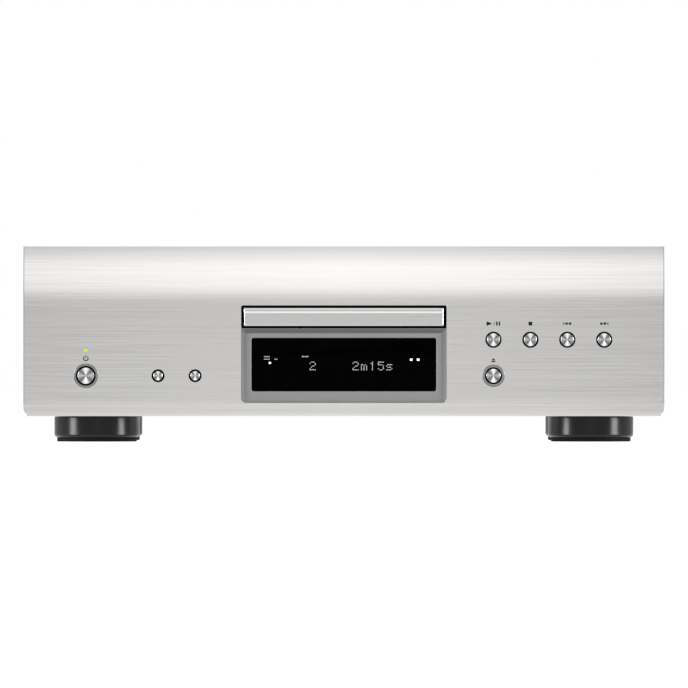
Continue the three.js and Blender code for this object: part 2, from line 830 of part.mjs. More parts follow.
function makeTrain() {
  const drive = [
    [gearBore, floorTop + gap],
    [4, floorTop + gap],
    [4, wheelLow],
    [wheelRadius, wheelLow],
    [wheelRadius, wheelHigh],
    [5, wheelHigh],
    [5, rackLevel],
    [rackPinionRadius, rackLevel],
    [rackPinionRadius, trayBottom - gap],
    [gearBore, trayBottom - gap],
    [gearBore, floorTop + gap],
  ];
  piece(loader, "tray_gear", turnedAlongZ(drive, 0, 0, 24), looks.white, [rackGearX, trainY, 0]);

  const pulley = [
    [gearBore, floorTop + gap],
    [pulleyRadius + pulleyFlange, floorTop + gap],
    [pulleyRadius + pulleyFlange, beltLow - gap],
    [pulleyRadius, beltLow],
    [pulleyRadius, beltHigh],
    [pulleyRadius + 1, beltHigh + gap],
    [pinionRadius, beltHigh + 1],
    [pinionRadius, wheelHigh + 1],
    [gearBore, wheelHigh + 1],
    [gearBore, floorTop + gap],
  ];
  piece(loader, "pulley_gear", turnedAlongZ(pulley, 0, 0, 20), looks.white, [pulleyGearX, trainY, 0]);

  const motorTop = floorTop + 1;
  const motor = [
    [0, motorTop - motorLength],
    [motorRadius, motorTop - motorLength],
    [motorRadius, motorTop],
    [3, motorTop],
    [3, motorTop + 1],
    [shaftRadius, motorTop + 1],
    [shaftRadius, beltHigh],
    [0, beltHigh],
  ];
  piece(loader, "loading_motor", turnedAlongZ(motor, 0, 0, 20), looks.steel, [motorX, trainY, 0]);

  const smallPulley = [
    [shaftBore, beltLow - 0.8],
    [motorPulleyRadius + 1, beltLow - 0.8],
    [motorPulleyRadius, beltLow],
    [motorPulleyRadius, beltHigh],
    [motorPulleyRadius + 1, beltHigh + 0.8],
    [shaftBore, beltHigh + 0.8],
    [shaftBore, beltLow - 0.8],
  ];
  piece(loader, "motor_pulley", turnedAlongZ(smallPulley, 0, 0, 16), looks.white, [motorX, trainY, 0]);

  const span = motorX - pulleyGearX;
  const wrap = Math.acos((pulleyRadius - motorPulleyRadius) / span);
  const loop = (grow) => {
    const path = new THREE.Path();
    path.absarc(0, 0, pulleyRadius + grow, wrap, 2 * Math.PI - wrap);
    path.absarc(span, 0, motorPulleyRadius + grow, -wrap, wrap);
    return path;
  };
  const outline = new THREE.Shape(loop(gap + beltThickness).getPoints(10));
  outline.holes.push(new THREE.Path(loop(gap).getPoints(10)));
  const belt = topOutline(outline, beltLow + 0.4, beltHigh - 0.4);
  piece(loader, "drive_belt", belt, looks.rubber, [pulleyGearX, trainY, 0]);
}

function makeCamSlider() {
  const low = floorTop + gap;
  const high = traverseBottom - gap - 0.1;
  const rampEnd = camNoseX - camTravel;
  const shape = polygon([
    [rampEnd - 8, low],
    [camNoseX + 14, low],
    [camNoseX + 14, high + 6],
    [camNoseX + 9, high + 6],
    [camNoseX + 9, high],
    [camNoseX + 1, high],
    [rampEnd, high - camDrop],
    [rampEnd - 8, high - camDrop],
  ]);
  const back = traverseFront - 3;
  piece(loader, "cam_slider", frontOutline(shape, back - camThickness, back), looks.white);
}

function makeTraverse() {
  const outer = box(-traverseHalf, traverseHalf, traverseFront, traverseRear, traverseBottom, traverseTop);
  const opening = box(
    -traverseInner,
    traverseInner,
    crossbarY + crossbarDepth,
    traverseRear - 6,
    traverseBottom - 1,
    traverseTop + 1,
  );
  const inside = traverseFront + 3;
  const underDeck = box(-traverseInner, traverseInner, inside, crossbarY, traverseBottom - 1, deckBottom);
  const hubHole = turnedAlongZ(rod(6, deckBottom - 1, traverseTop + 1), 0, discCentreY, 24);
  const motorNotch = box(
    screwX - sledMotorRadius - gap,
    traverseInner,
    traverseFront + 8,
    crossbarY,
    deckBottom - 1,
    traverseTop + 1,
  );
  const rodHoles = [-rodX, rodX].map((x) =>
    turnedAlongY(rod(rodRadius + runningClearance, crossbarY - 0.5, rodEnd), x, pivotZ, 12),
  );
  const screwHole = turnedAlongY(rod(screwRadius + gap, crossbarY - 1, rodEnd), screwX, pivotZ, 12);
  const trunnions = rodAlongX(pivotRadius, -traverseHalf - 3.4, traverseHalf + 3.4, pivotY, pivotZ);
  const nose = turnedAlongY(
    rod(camNoseRadius, traverseFront - 6, traverseFront + 1),
    camNoseX,
    traverseBottom + camNoseRadius,
    12,
  );
  const frame = cut(join(outer, trunnions), opening, underDeck, hubHole, motorNotch, ...rodHoles, screwHole);
  piece(loader, "traverse_frame", join(frame, nose), looks.steel);

  for (const [side, x] of [["left", -rodX], ["right", rodX]]) {
    const bar = turnedAlongY(rod(rodRadius, crossbarY, rodEnd - gap), 0, 0, 12);
    piece(loader, `guide_rod_${side}`, bar, looks.steel, [x, 0, pivotZ]);
  }
  const screwStart = crossbarY - gap;
  const screw = turnedAlongY(rod(screwRadius, screwStart, rodEnd - gap), 0, 0, 12);
  piece(loader, "sled_screw", screw, looks.steel, [screwX, 0, pivotZ]);
  const sledMotor = turnedAlongY(rod(sledMotorRadius, traverseFront + 10, screwStart - gap), 0, 0, 20);
  piece(loader, "sled_motor", sledMotor, looks.steel, [screwX, 0, pivotZ]);

  const motor = [
    [0, deckBottom - gap - 11],
    [spindleMotorRadius - 1, deckBottom - gap - 11],
    [spindleMotorRadius, deckBottom - gap - 10],
    [spindleMotorRadius, deckBottom - gap],
    [3, deckBottom - gap],
    [3, traverseTop],
    [shaftRadius, traverseTop],
    [shaftRadius, traverseTop + spindleLength],
    [0, traverseTop + spindleLength],
  ];
  piece(loader, "spindle_motor", turnedAlongZ(motor, 0, 0, 20), looks.steel, [0, discCentreY, 0]);
}

function makeTurntable() {
  const low = traverseTop + gap;
  const boreTop = traverseTop + spindleLength + gap;
  const profile = [
    [0, boreTop],
    [shaftBore, boreTop],
    [shaftBore, low],
    [5, low],
    [6, turntableTop - 2],
    [turntableRadius, turntableTop - 2],
    [turntableRadius, turntableTop],
    [hubConeRadius, turntableTop],
    [hubConeRadius - 0.6, hubConeTop - 1],
    [hubConeRadius - 2, hubConeTop],
    [0, hubConeTop],
  ];
  piece(loader, "turntable", turnedAlongZ(profile, 0, 0, 24), looks.black, [0, discCentreY, 0]);
}

function makeClamper() {
  const low = turntableTop + 1.2 + gap;
  const recess = hubConeRadius + 1.2;
  const disc = turnedAlongZ([
    [0, hubConeTop + gap],
    [recess, hubConeTop + gap],
    [recess, low],
    [clamperRadius, low],
    [clamperRadius, bridgeLow - 1],
    [clamperNeck, bridgeLow - 1],
    [clamperNeck, bridgeHigh + gap],
    [clamperNeck + 4, bridgeHigh + gap],
    [clamperNeck + 4, bridgeHigh + gap + 1.4],
    [0, bridgeHigh + gap + 1.4],
  ], 0, 0, 20);
  piece(loader, "clamper", disc, looks.black, [0, discCentreY, 0]);
  const strip = box(-loaderHalf, loaderHalf, discCentreY - 18, discCentreY + 18, bridgeLow, bridgeHigh);
  const hole = turnedAlongZ(rod(clamperNeck + 1, bridgeLow - 1, bridgeHigh + 1), 0, discCentreY, 20);
  piece(loader, "clamper_bridge", cut(strip, hole), looks.steel);
}

function makePickup() {
  const start = discCentreY + lensOffset - 5;
  const end = start + pickupLength;
  const lensY = discCentreY + lensOffset;
  const low = traverseBottom + 0.6;
  const shoulder = traverseTop + 0.3;
  const sled = box(-pickupHalf, pickupHalf, start, end, low, shoulder);
  const head = box(-pickupTopHalf, pickupTopHalf, start, end - 6, shoulder - 1, shoulder + 4.4);
  const arm = box(pickupHalf - 1, screwX - screwRadius - gap, start + 8, end - 8, low + 1, shoulder - 1);
  const bores = [-rodX, rodX].map((x) =>
    turnedAlongY(rod(rodRadius + runningClearance, start - 1, end + 1), x, pivotZ, 12),
  );
  const lensWell = turnedAlongZ(rod(lensRadius + 0.8, shoulder + 1, shoulder + 6), 0, lensY, 24);
  piece(loader, "optical_pickup", cut(join(sled, head, arm), ...bores, lensWell), looks.dark);
  const lens = turnedAlongZ([
    [0, shoulder + 2],
    [lensRadius, shoulder + 2],
    [lensRadius, shoulder + 4.4],
    [lensRadius - 1, shoulder + 4.8],
    [0, shoulder + 5.1],
  ], 0, 0, 20);
  piece(loader, "objective_lens", lens, looks.glass, [0, lensY, 0]);
}

// ---------- Electronics and rear sockets ----------

function makeTransformer() {
  const x = 62.5 - insideHalf;
  const y = rearInner - 76.9;
  const can = roundedRect(x - 39, x + 39, y - 41, y + 41, 8);
  const plate = roundedRect(x - 47, x + 47, y - 33, y + 33, 3);
  const low = baseTop + gap;
  const made = join(topOutline(can, low + 2, low + 65.2, 5), topOutline(plate, low, low + 3, 3));
  piece(electronics, "power_transformer", made, looks.dark);
}

// A board on posts, from its outer edge inwards (side is the way in) and from y0 back to y1.
// Each component is [kind, distance from the outer edge, distance from the front, size, height].
function circuitBoard(name, edgeX, side, width, y0, y1, components) {
  const top = boardRise + boardThickness;
  const x0 = Math.min(edgeX, edgeX + side * width);
  const x1 = x0 + width;
  const solids = [box(x0, x1, y0, y1, boardRise, top)];
  for (const x of [x0 + 5, x1 - 5]) {
    for (const y of [y0 + 5, y1 - 5]) {
      solids.push(turnedAlongZ(rod(3, baseTop + gap, boardRise + 0.5), x, y, 6));
    }
  }
  for (const [kind, inwards, back, size, height] of components) {
    const x = edgeX + side * inwards;
    const y = y0 + back;
    const half = size / 2;
    if (kind === "can") solids.push(turnedAlongZ(rod(half, top - 0.5, top + height), x, y, 12));
    else solids.push(box(x - half, x + half, y - half / 2, y + half / 2, top - 0.5, top + height));
  }
  piece(electronics, name, join(...solids), looks.board);
}

function makeBoards() {
  const margin = 8.5;
  const powerWidth = insideHalf - margin - loaderHalf - 17.75;
  circuitBoard("power_board", margin - insideHalf, 1, powerWidth, frameBack + 24.5, frameBack + 154.5, [
    ["can", 20, 25, 25, 40],
    ["can", 50, 25, 25, 40],
    ["can", 80, 25, 18, 30],
    ["box", 55, 70, 80, 32],
    ["box", 85, 105, 30, 18],
    ["can", 25, 105, 16, 25],
  ]);
  const audioWidth = insideHalf - margin - loaderHalf - 11.75;
  circuitBoard("audio_board", insideHalf - margin, -1, audioWidth, frameBack + 34.5, rearInner - 12, [
    ["can", 25, 30, 18, 30],
    ["can", 50, 30, 18, 30],
    ["can", 75, 30, 18, 30],
    ["can", 100, 30, 18, 30],
    ["box", 85, 80, 24, 5],
    ["box", 40, 80, 24, 5],
    ["can", 90, 130, 12, 18],
    ["can", 60, 130, 12, 18],
    ["can", 30, 130, 12, 18],
    ["box", 60, 175, 40, 14],
  ]);
  const servoHalf = loaderHalf - 17.25;
  circuitBoard("servo_board", -servoHalf, 1, 2 * servoHalf, discCentreY - 14, discCentreY + 96, [
    ["box", 45, 55, 28, 3],
    ["box", 85, 30, 14, 3],
    ["can", 15, 90, 10, 12],
  ]);
}

function makeInlet() {
  const half = inlet.width / 2;
  const tall = inlet.height / 2;
  const low = inletZ - tall;
  const high = inletZ + tall;
  const shell = box(inletX - half, inletX + half, inletFace - inlet.depth, inletFace, low, high);
  const flange = box(inletX - half - 4, inletX + half + 4, rearOuter + gap, inletFace, low - 3, high + 3);
  const cavity = box(
    inletX - inlet.cavityWidth / 2,
    inletX + inlet.cavityWidth / 2,
    inletFace - inlet.cavityDepth,
    inletFace + 1,
    inletZ - inlet.cavityHeight / 2,
    inletZ + inlet.cavityHeight / 2,
  );
  const blades = [-7, 7].map((offset) => {
    const x = inletX + offset;
    return box(x - 1, x + 1, inletFace - inlet.depth - 6, inletFace - 3, inletZ - 2, inletZ + 2);
  });
  piece(electronics, "mains_inlet", join(cut(join(shell, flange), cavity), ...blades), looks.black);
}

// A phono jack: a turned barrel with a collar in the panel and a hole for the plug's pin.
function phonoJack(x, z) {
  const barrel = turnedAlongY([
    [0, rearInner - 14],
    [phono.collar, rearInner - 14],
    [phono.collar, rearOuter + 1.2],
    [phono.radius, rearOuter + 1.2],
    [phono.radius, rearMost - 0.4],
    [phono.radius - 0.4, rearMost],
    [0, rearMost],
  ], x, z, 16);
  return cut(barrel, turnedAlongY(rod(1.7, rearMost - 8, rearMost + 1), x, z, 8));
}

function socketBlock(x, half, depth, tall) {
  return box(x - half, x + half, socketBack - depth, socketBack, socketZ - tall, socketZ + tall);
}

function makePhonoSockets() {
  const pair = [-1, 1].map((side) => phonoJack(analogX + (side * phono.spacing) / 2, socketZ));
  piece(electronics, "analog_outputs", join(socketBlock(analogX, 20, 13, 9), ...pair), looks.black);
  const coaxial = join(socketBlock(digitalX, 7.5, 13, 9), phonoJack(digitalX, socketZ));
  piece(electronics, "coaxial_output", coaxial, looks.black);
}

function makeOpticalSocket() {
  const half = optical.width / 2;
  const tall = optical.height / 2;
  const inner = half - optical.wall;
  const mouth = rearOuter + 1.2;
  const back = mouth - optical.depth;
  const housing = box(opticalX - half, opticalX + half, back, mouth, socketZ - tall, socketZ + tall);
  const cavity = box(
    opticalX - inner,
    opticalX + inner,
    back + 3,
    mouth + 1,
    socketZ - tall + optical.wall,
    socketZ + tall - optical.wall,
  );
  piece(electronics, "optical_output", cut(housing, cavity), looks.black);
  const flapHalf = inner - gap;
  const flapDrop = 2 * (tall - optical.wall) - 4 * gap;
  const flap = box(-flapHalf, flapHalf, -0.8, 0, -flapDrop, 0);
  const hingeRod = rodAlongX(0.5, -flapHalf, flapHalf, -0.4, 0, 12);
  const hingeZ = socketZ + tall - optical.wall - gap - 0.5;
  piece(electronics, "optical_shutter", join(flap, hingeRod), looks.dark, [opticalX, mouth - 1.4, hingeZ]);
}

function makeRemoteJacks() {
  const jacks = [-1, 1].map((side) => {
    const x = remoteX + (side * remote.spacing) / 2;
    const barrel = turnedAlongY(rod(remote.radius, socketBack - 1, rearOuter + 1.4), x, socketZ, 16);
    return cut(barrel, turnedAlongY(rod(1.8, socketBack - 0.5, rearOuter + 2), x, socketZ, 8));
  });
  piece(electronics, "remote_jacks", join(socketBlock(remoteX, 14, 12, 7), ...jacks), looks.black);
}

makeFrontPanel();
makeFrontFrame();
makeBase();
makeCover();
makeRearPanel();
makeFeet();
makeButtons();
makePowerLight();
makeSwitchBoards();
makeTraySurround();
makeDisplayBezel();
makeDisplay();
makeTray();
makeTrayLid();
makeLoaderFrame();
makeTrain();
makeCamSlider();
makeTraverse();
makeTurntable();
makeClamper();
makePickup();
makeTransformer();
makeBoards();
makeInlet();
makePhonoSockets();
makeOpticalSocket();
makeRemoteJacks();

export default part;
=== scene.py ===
import bmesh
import bpy
import json
import math
import random
from mathutils import Matrix, Vector

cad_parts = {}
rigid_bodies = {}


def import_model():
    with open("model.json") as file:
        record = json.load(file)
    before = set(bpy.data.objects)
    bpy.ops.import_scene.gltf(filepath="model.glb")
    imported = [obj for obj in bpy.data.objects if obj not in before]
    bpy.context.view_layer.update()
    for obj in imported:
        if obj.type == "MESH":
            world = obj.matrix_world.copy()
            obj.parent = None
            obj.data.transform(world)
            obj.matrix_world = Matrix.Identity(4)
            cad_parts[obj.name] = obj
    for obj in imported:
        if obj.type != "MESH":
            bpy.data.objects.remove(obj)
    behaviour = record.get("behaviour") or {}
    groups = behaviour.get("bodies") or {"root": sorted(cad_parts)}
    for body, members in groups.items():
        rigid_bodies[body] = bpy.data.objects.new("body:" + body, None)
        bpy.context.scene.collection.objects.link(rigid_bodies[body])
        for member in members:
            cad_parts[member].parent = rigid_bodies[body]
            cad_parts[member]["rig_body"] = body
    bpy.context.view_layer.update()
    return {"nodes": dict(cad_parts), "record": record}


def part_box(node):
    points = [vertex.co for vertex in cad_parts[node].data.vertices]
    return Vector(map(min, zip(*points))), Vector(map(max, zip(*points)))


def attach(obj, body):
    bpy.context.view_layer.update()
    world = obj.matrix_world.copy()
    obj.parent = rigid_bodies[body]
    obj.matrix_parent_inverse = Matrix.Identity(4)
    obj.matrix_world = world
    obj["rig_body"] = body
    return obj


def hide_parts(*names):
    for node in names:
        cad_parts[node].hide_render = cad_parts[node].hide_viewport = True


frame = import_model()
scene = bpy.context.scene
scene.view_settings.view_transform = "Standard"
mm = 0.001
print("frame loaded:", len(frame["nodes"]), "solids")


def span(node):  # a solid's two corners in millimetres
    low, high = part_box(node)
    return low / mm, high / mm


def middle(node):
    low, high = span(node)
    return (low + high) / 2


def reachOf(node):  # corners, centre and half width of a solid
    low, high = span(node)
    return low, high, (low + high) / 2, (high.x - low.x) / 2


# ---- shapes: everything is lofted from rings of points, in millimetres ----

def ringOfCircle(radius, level, axis, centre=(0, 0, 0), steps=48):
    ring = []
    for i in range(steps):
        turn = 2 * math.pi * i / steps
        u, v = radius * math.cos(turn), radius * math.sin(turn)
        point = {"x": (level, u, v), "y": (u, level, v), "z": (u, v, level)}[axis]
        ring.append(Vector(point) + Vector(centre))
    return ring


def ringOfFrame(x0, x1, z0, z1, y, lowRadius, highRadius=None, steps=5):
    # a rounded rectangle seen from the front
    highRadius = lowRadius if highRadius is None else highRadius
    corners = ((x1, z0, -90, lowRadius), (x1, z1, 0, highRadius))
    corners += ((x0, z1, 90, highRadius), (x0, z0, 180, lowRadius))
    ring = []
    for cornerX, cornerZ, start, radius in corners:
        centreX = cornerX + (radius if cornerX == x0 else -radius)
        centreZ = cornerZ + (radius if cornerZ == z0 else -radius)
        for i in range(steps + 1):
            turn = math.radians(start + 90 * i / steps)
            ring.append(Vector((centreX + radius * math.cos(turn), y, centreZ + radius * math.sin(turn))))
    return ring


def laidFlat(ring, level):  # turns a frame seen from the front into one seen from above
    return [Vector((point.x, point.z, level)) for point in ring]


def loft(bm, rings, around=False, finish=0):
    rows = [[bm.verts.new(Vector(point) * mm) for point in ring] for ring in rings]
    count = len(rings[0])
    pairs = list(zip(rows, rows[1:]))
    if around:
        pairs.append((rows[-1], rows[0]))
    made = []
    for near, far in pairs:
        for i in range(count):
            k = (i + 1) % count
            made.append(bm.faces.new((near[i], near[k], far[k], far[i])))
    if not around:
        made.append(bm.faces.new(rows[0]))
        made.append(bm.faces.new(list(reversed(rows[-1]))))
    for face in made:
        face.material_index = finish
    return made


def turnedSolid(bm, profile, axis, centre=(0, 0, 0), steps=48, finish=0):
    # profile is (radius, level) from one end of the axis to the other
    rings = [ringOfCircle(max(radius, 0.0), level, axis, centre, steps) for radius, level in profile]
    closed = profile[0][0] > 0 and profile[0] == profile[-1]
    return loft(bm, rings[:-1] if closed else rings, around=closed, finish=finish)


def block(bm, low, high, edge=0.3, finish=0, steps=2):
    # a block with its edges rounded off
    x0, y0, z0 = low
    x1, y1, z1 = high
    edge = min(edge, (x1 - x0) / 2.2, (y1 - y0) / 2.2, (z1 - z0) / 2.2)
    easing = ((0, 1), (0.3, 0.3), (1, 0))      # depth and inset, as shares of the edge
    levels = [(y0 + edge * depth, edge * inset) for depth, inset in easing]
    levels += [(y1 - edge * depth, edge * inset) for depth, inset in reversed(easing)]
    rings = []
    for y, inset in levels:
        radius = max(edge - inset, 0.02) + edge * 0.2
        rings.append(ringOfFrame(x0 + inset, x1 - inset, z0 + inset, z1 - inset, y, radius, steps=steps))
    return loft(bm, rings, finish=finish)


def tidyMesh(bm):
    bmesh.ops.remove_doubles(bm, verts=bm.verts, dist=3e-7)
    bmesh.ops.dissolve_degenerate(bm, edges=bm.edges, dist=1e-8)
    bmesh.ops.recalc_face_normals(bm, faces=bm.faces)


def looseObject(bm, name):
    tidyMesh(bm)
    mesh = bpy.data.meshes.new(name)
    bm.to_mesh(mesh)
    bm.free()
    made = bpy.data.objects.new(name, mesh)
    scene.collection.objects.link(made)
    return made


def carve(bm, cutter, operation="DIFFERENCE"):
    # cuts one shape out of another and gives the result back as a new bmesh
    kept, tool = looseObject(bm, "carved"), looseObject(cutter, "carver")
    step = kept.modifiers.new("carve", "BOOLEAN")
    step.operation = operation
    step.solver = "EXACT"
    step.object = tool
    bpy.context.view_layer.update()
    made = bpy.data.meshes.new_from_object(kept.evaluated_get(bpy.context.evaluated_depsgraph_get()))
    result = bmesh.new()
    result.from_mesh(made)
    for spare in (kept, tool):
        spareMesh = spare.data
        bpy.data.objects.remove(spare)
        bpy.data.meshes.remove(spareMesh)
    bpy.data.meshes.remove(made)
    return result


def cadCopy(node):
    bm = bmesh.new()
    bm.from_mesh(frame["nodes"][node].data)
    bmesh.ops.remove_doubles(bm, verts=bm.verts, dist=1e-6)
    bmesh.ops.dissolve_limit(bm, angle_limit=0.01, verts=bm.verts, edges=bm.edges)
    for face in bm.faces:
        face.material_index = 0
    return bm


def bodyOf(node):
    return frame["nodes"][node]["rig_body"]


def slotOf(node):
    for row in frame["record"]["subparts"]:
        if row["node"] == node:
            return row["material_slot"]


def makePiece(name, bm, coats, node, smooth=35, place=None, stands=True):
    # the piece rides on the body of its CAD node, and stands for it unless it is an extra
    made = looseObject(bm, name)
    if place is not None:
        made.location = place * mm
    for coat in coats:
        made.data.materials.append(finishes[coat])
    made.data.shade_smooth()
    made.data.set_sharp_from_angle(angle=math.radians(smooth))
    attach(made, bodyOf(node))
    slotOf(node)
    if stands:
        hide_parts(node)


def softenEdges(made, width):
    step = made.modifiers.new("softEdges", "BEVEL")
    step.width = width * mm
    step.segments = 2
    step.limit_method = "ANGLE"
    step.angle_limit = math.radians(40)
    step.harden_normals = True
    step.use_clamp_overlap = True


# ---- finishes ----

class Finish:
    def __init__(self, name, **fixed):
        self.made = bpy.data.materials.new(name)
        self.made.use_nodes = True
        self.nodes = self.made.node_tree.nodes
        self.links = self.made.node_tree.links
        self.shader = self.nodes["Principled BSDF"]
        for socket, value in fixed.items():
            self.shader.inputs[socket.replace("_", " ")].default_value = value

    def place(self):
        return self.nodes.new("ShaderNodeTexCoord").outputs["Object"]

    def parts(self):  # the three coordinates of a point on the piece
        split = self.nodes.new("ShaderNodeSeparateXYZ")
        self.links.new(self.place(), split.inputs[0])
        return split.outputs

    def scaled(self, stretch):
        mapping = self.nodes.new("ShaderNodeMapping")
        mapping.inputs["Scale"].default_value = stretch
        self.links.new(self.place(), mapping.inputs["Vector"])
        return mapping.outputs["Vector"]

    def grain(self, stretch, detail=3.0, roughness=0.5):
        noise = self.nodes.new("ShaderNodeTexNoise")
        noise.inputs["Scale"].default_value = 1.0
        noise.inputs["Detail"].default_value = detail
        noise.inputs["Roughness"].default_value = roughness
        self.links.new(self.scaled(stretch), noise.inputs["Vector"])
        return noise.outputs["Fac"]

    def speckle(self, scale):
        cells = self.nodes.new("ShaderNodeTexVoronoi")
        cells.feature = "F1"
        cells.inputs["Scale"].default_value = scale
        self.links.new(self.place(), cells.inputs["Vector"])
        return cells.outputs["Distance"]

    def combine(self, first, second, operation="ADD"):
        node = self.nodes.new("ShaderNodeMath")
        node.operation = operation
        for socket, value in zip(node.inputs, (first, second)):
            if isinstance(value, (int, float)):
                socket.default_value = value
            else:
                self.links.new(value, socket)
        return node.outputs[0]

    def blend(self, first, firstShare, second, secondShare):
        first = self.combine(first, firstShare, "MULTIPLY")
        return self.combine(first, self.combine(second, secondShare, "MULTIPLY"))

    def colour(self, source, stops):
        ramp = self.nodes.new("ShaderNodeValToRGB")
        while len(ramp.color_ramp.elements) < len(stops):
            ramp.color_ramp.elements.new(0.5)
        for element, (spot, rgb) in zip(ramp.color_ramp.elements, stops):
            element.position = spot
            element.color = (*rgb, 1)
        self.links.new(source, ramp.inputs["Fac"])
        self.links.new(ramp.outputs["Color"], self.shader.inputs["Base Color"])
        return self

    def shine(self, source, low, high):
        spread = self.nodes.new("ShaderNodeMapRange")
        limits = (("From Min", 0.3), ("From Max", 0.7), ("To Min", low), ("To Max", high))
        for socket, value in limits:
            spread.inputs[socket].default_value = value
        self.links.new(source, spread.inputs["Value"])
        self.links.new(spread.outputs["Result"], self.shader.inputs["Roughness"])
        return self

    def relief(self, source, strength, depth):
        bump = self.nodes.new("ShaderNodeBump")
        bump.inputs["Strength"].default_value = strength
        bump.inputs["Distance"].default_value = depth * mm
        self.links.new(source, bump.inputs["Height"])
        self.links.new(bump.outputs["Normal"], self.shader.inputs["Normal"])
        return self

    def lay(self, axis):
        # the way the tool marks run, round the given axis
        tangent = self.nodes.new("ShaderNodeTangent")
        tangent.direction_type = "RADIAL"
        tangent.axis = axis
        self.links.new(tangent.outputs["Tangent"], self.shader.inputs["Tangent"])
        return self


def grey(value, warmth=0.0):
    return (value * (1 + warmth), value, value * (1 - warmth))


def shades(tone, warmth, *stops):  # greys round one tone, each at its spot on the ramp
    return [(spot, grey(tone * share, warmth)) for spot, share in stops]


def brushedMetal(name, tone, warmth, shine, paintedEndShade=1.0):
    stretch = (10, 2600, 2600)      # long thin grooves from side to side
    finish = Finish(name, Metallic=1.0, Anisotropic=0.45, Anisotropic_Rotation=0.25)
    streaks = finish.grain(stretch, detail=4.0, roughness=0.62)
    broad = finish.grain([value * 0.3 for value in stretch], detail=2.0)
    mixed = finish.blend(streaks, 0.8, broad, 0.2)
    stops = ((0.3, 0.94), (0.5, 1.0), (0.7, 1.05))
    if paintedEndShade != 1.0:
        # painted shade: the colour is made darker towards the two ends of the panel, where the light falls off
        reach = finish.combine(finish.parts()["X"], 0, "ABSOLUTE")
        mixed = finish.combine(mixed, finish.combine(reach, (paintedEndShade - 1) * 1.2, "MULTIPLY"))
        stops = ((0.1, 0.8), (0.3, 0.945), (0.5, 1.0), (0.7, 1.035))
    finish.colour(mixed, shades(tone, warmth, *stops))
    finish.shine(streaks, shine * 0.92, shine * 1.08)
    finish.relief(streaks, 0.16, 0.003)
    return finish.lay("Z").made


def spunMetal(name, tone, shine, anisotropy, axis="Y", warmth=0.004, paintedHighlightWedges=False):
    finish = Finish(name, Metallic=1.0, Anisotropic=anisotropy, Anisotropic_Rotation=0.25)
    radius = finish.nodes.new("ShaderNodeVectorMath")
    radius.operation = "LENGTH"
    rings = finish.nodes.new("ShaderNodeTexNoise")
    rings.noise_dimensions = "1D"
    rings.inputs["Scale"].default_value = 9000
    rings.inputs["Detail"].default_value = 3
    finish.links.new(finish.scaled((1, 0, 1) if axis == "Y" else (1, 1, 0)), radius.inputs[0])
    finish.links.new(radius.outputs["Value"], rings.inputs["W"])
    groovesAndPaintedHighlight = rings.outputs["Fac"]
    stops = ((0.25, 0.9), (0.75, 1.05))
    if paintedHighlightWedges:
        # painted highlight: the bright wedges that turned grooves show in light are painted into the colour by
        # the angle round the axis, widest above and below
        parts = finish.parts()
        turn = finish.combine(parts["Z"], parts["X"], "ARCTAN2")
        fourPaintedWedges = finish.combine(finish.combine(turn, 4, "MULTIPLY"), 0, "COSINE")
        rise = finish.combine(finish.combine(turn, 0, "SINE"), 0, "ABSOLUTE")
        groovesAndPaintedHighlight = finish.blend(finish.blend(fourPaintedWedges, 0.3, rise, 0.34), 1.0, groovesAndPaintedHighlight, 0.24)
        stops = ((0.0, 0.22), (0.22, 0.5), (0.5, 1.08), (0.75, 1.3))
    finish.colour(groovesAndPaintedHighlight, shades(tone, warmth, *stops))
    finish.shine(groovesAndPaintedHighlight, shine * 0.85, shine * 1.15)
    finish.relief(groovesAndPaintedHighlight, 0.25, 0.004)
    return finish.lay(axis).made


def mouldedPlastic(name, tone, shine, warmth=0.0, texture=2600, depth=0.012, gloss=0.5):
    finish = Finish(name, Specular_IOR_Level=gloss)
    pebble = finish.grain((texture, texture, texture), detail=2.0)
    cloud = finish.grain((28, 28, 28), detail=4.0)
    finish.colour(cloud, shades(tone, warmth, (0.3, 0.86), (0.7, 1.12)))
    finish.shine(finish.combine(pebble, cloud, "MULTIPLY"), shine * 0.85, shine * 1.1)
    return finish.relief(pebble, 0.3, depth).made


def paintedSteel(name, tone, shine, warmth, metal=0.0):
    finish = Finish(name, Metallic=metal, Specular_IOR_Level=0.45)
    dust = finish.grain((2200, 2200, 2200), detail=3.0, roughness=0.7)
    cloud = finish.grain((6, 6, 6), detail=3.0)
    finish.colour(finish.blend(dust, 0.8, cloud, 0.2), shades(tone, warmth, (0.32, 0.9), (0.68, 1.08)))
    finish.shine(dust, shine * 0.9, shine * 1.12)
    return finish.relief(dust, 0.4, 0.02).made


def zincSheet(name, tone=0.62):
    finish = Finish(name, Metallic=1.0)
    scratches = finish.grain((14, 700, 60), detail=4.0)
    mixed = finish.blend(finish.speckle(140), 0.7, scratches, 0.5)
    dull = (tone * 0.86, tone * 0.89, tone * 0.92)
    bright = (tone * 1.05, tone * 1.07, tone * 1.08)
    finish.colour(mixed, ((0.2, dull), (0.75, bright)))
    finish.shine(mixed, 0.3, 0.46)
    return finish.relief(scratches, 0.2, 0.01).made


def paintedLine(name, rgb, shine):
    finish = Finish(name, Specular_IOR_Level=0.08)
    edge = finish.grain((1500, 1500, 1500), detail=3.0)
    finish.colour(edge, ((0.3, [c * 0.85 for c in rgb]), (0.7, [c * 1.1 for c in rgb])))
    return finish.shine(edge, shine * 0.9, shine * 1.1).made


def glowing(name, rgb, strength, shine=0.35):
    finish = Finish(name, Emission_Strength=strength)
    cells = finish.grain((700, 700, 700), detail=2.0)
    ramp = finish.nodes.new("ShaderNodeValToRGB")
    for element, level in zip(ramp.color_ramp.elements, (0.75, 1.0)):
        element.color = (*[c * level for c in rgb], 1)
    finish.links.new(cells, ramp.inputs["Fac"])
    finish.links.new(ramp.outputs["Color"], finish.shader.inputs["Emission Color"])
    finish.colour(cells, ((0.3, [c * 0.5 for c in rgb]), (0.7, [c * 0.6 for c in rgb])))
    return finish.shine(cells, shine, shine * 1.2).made


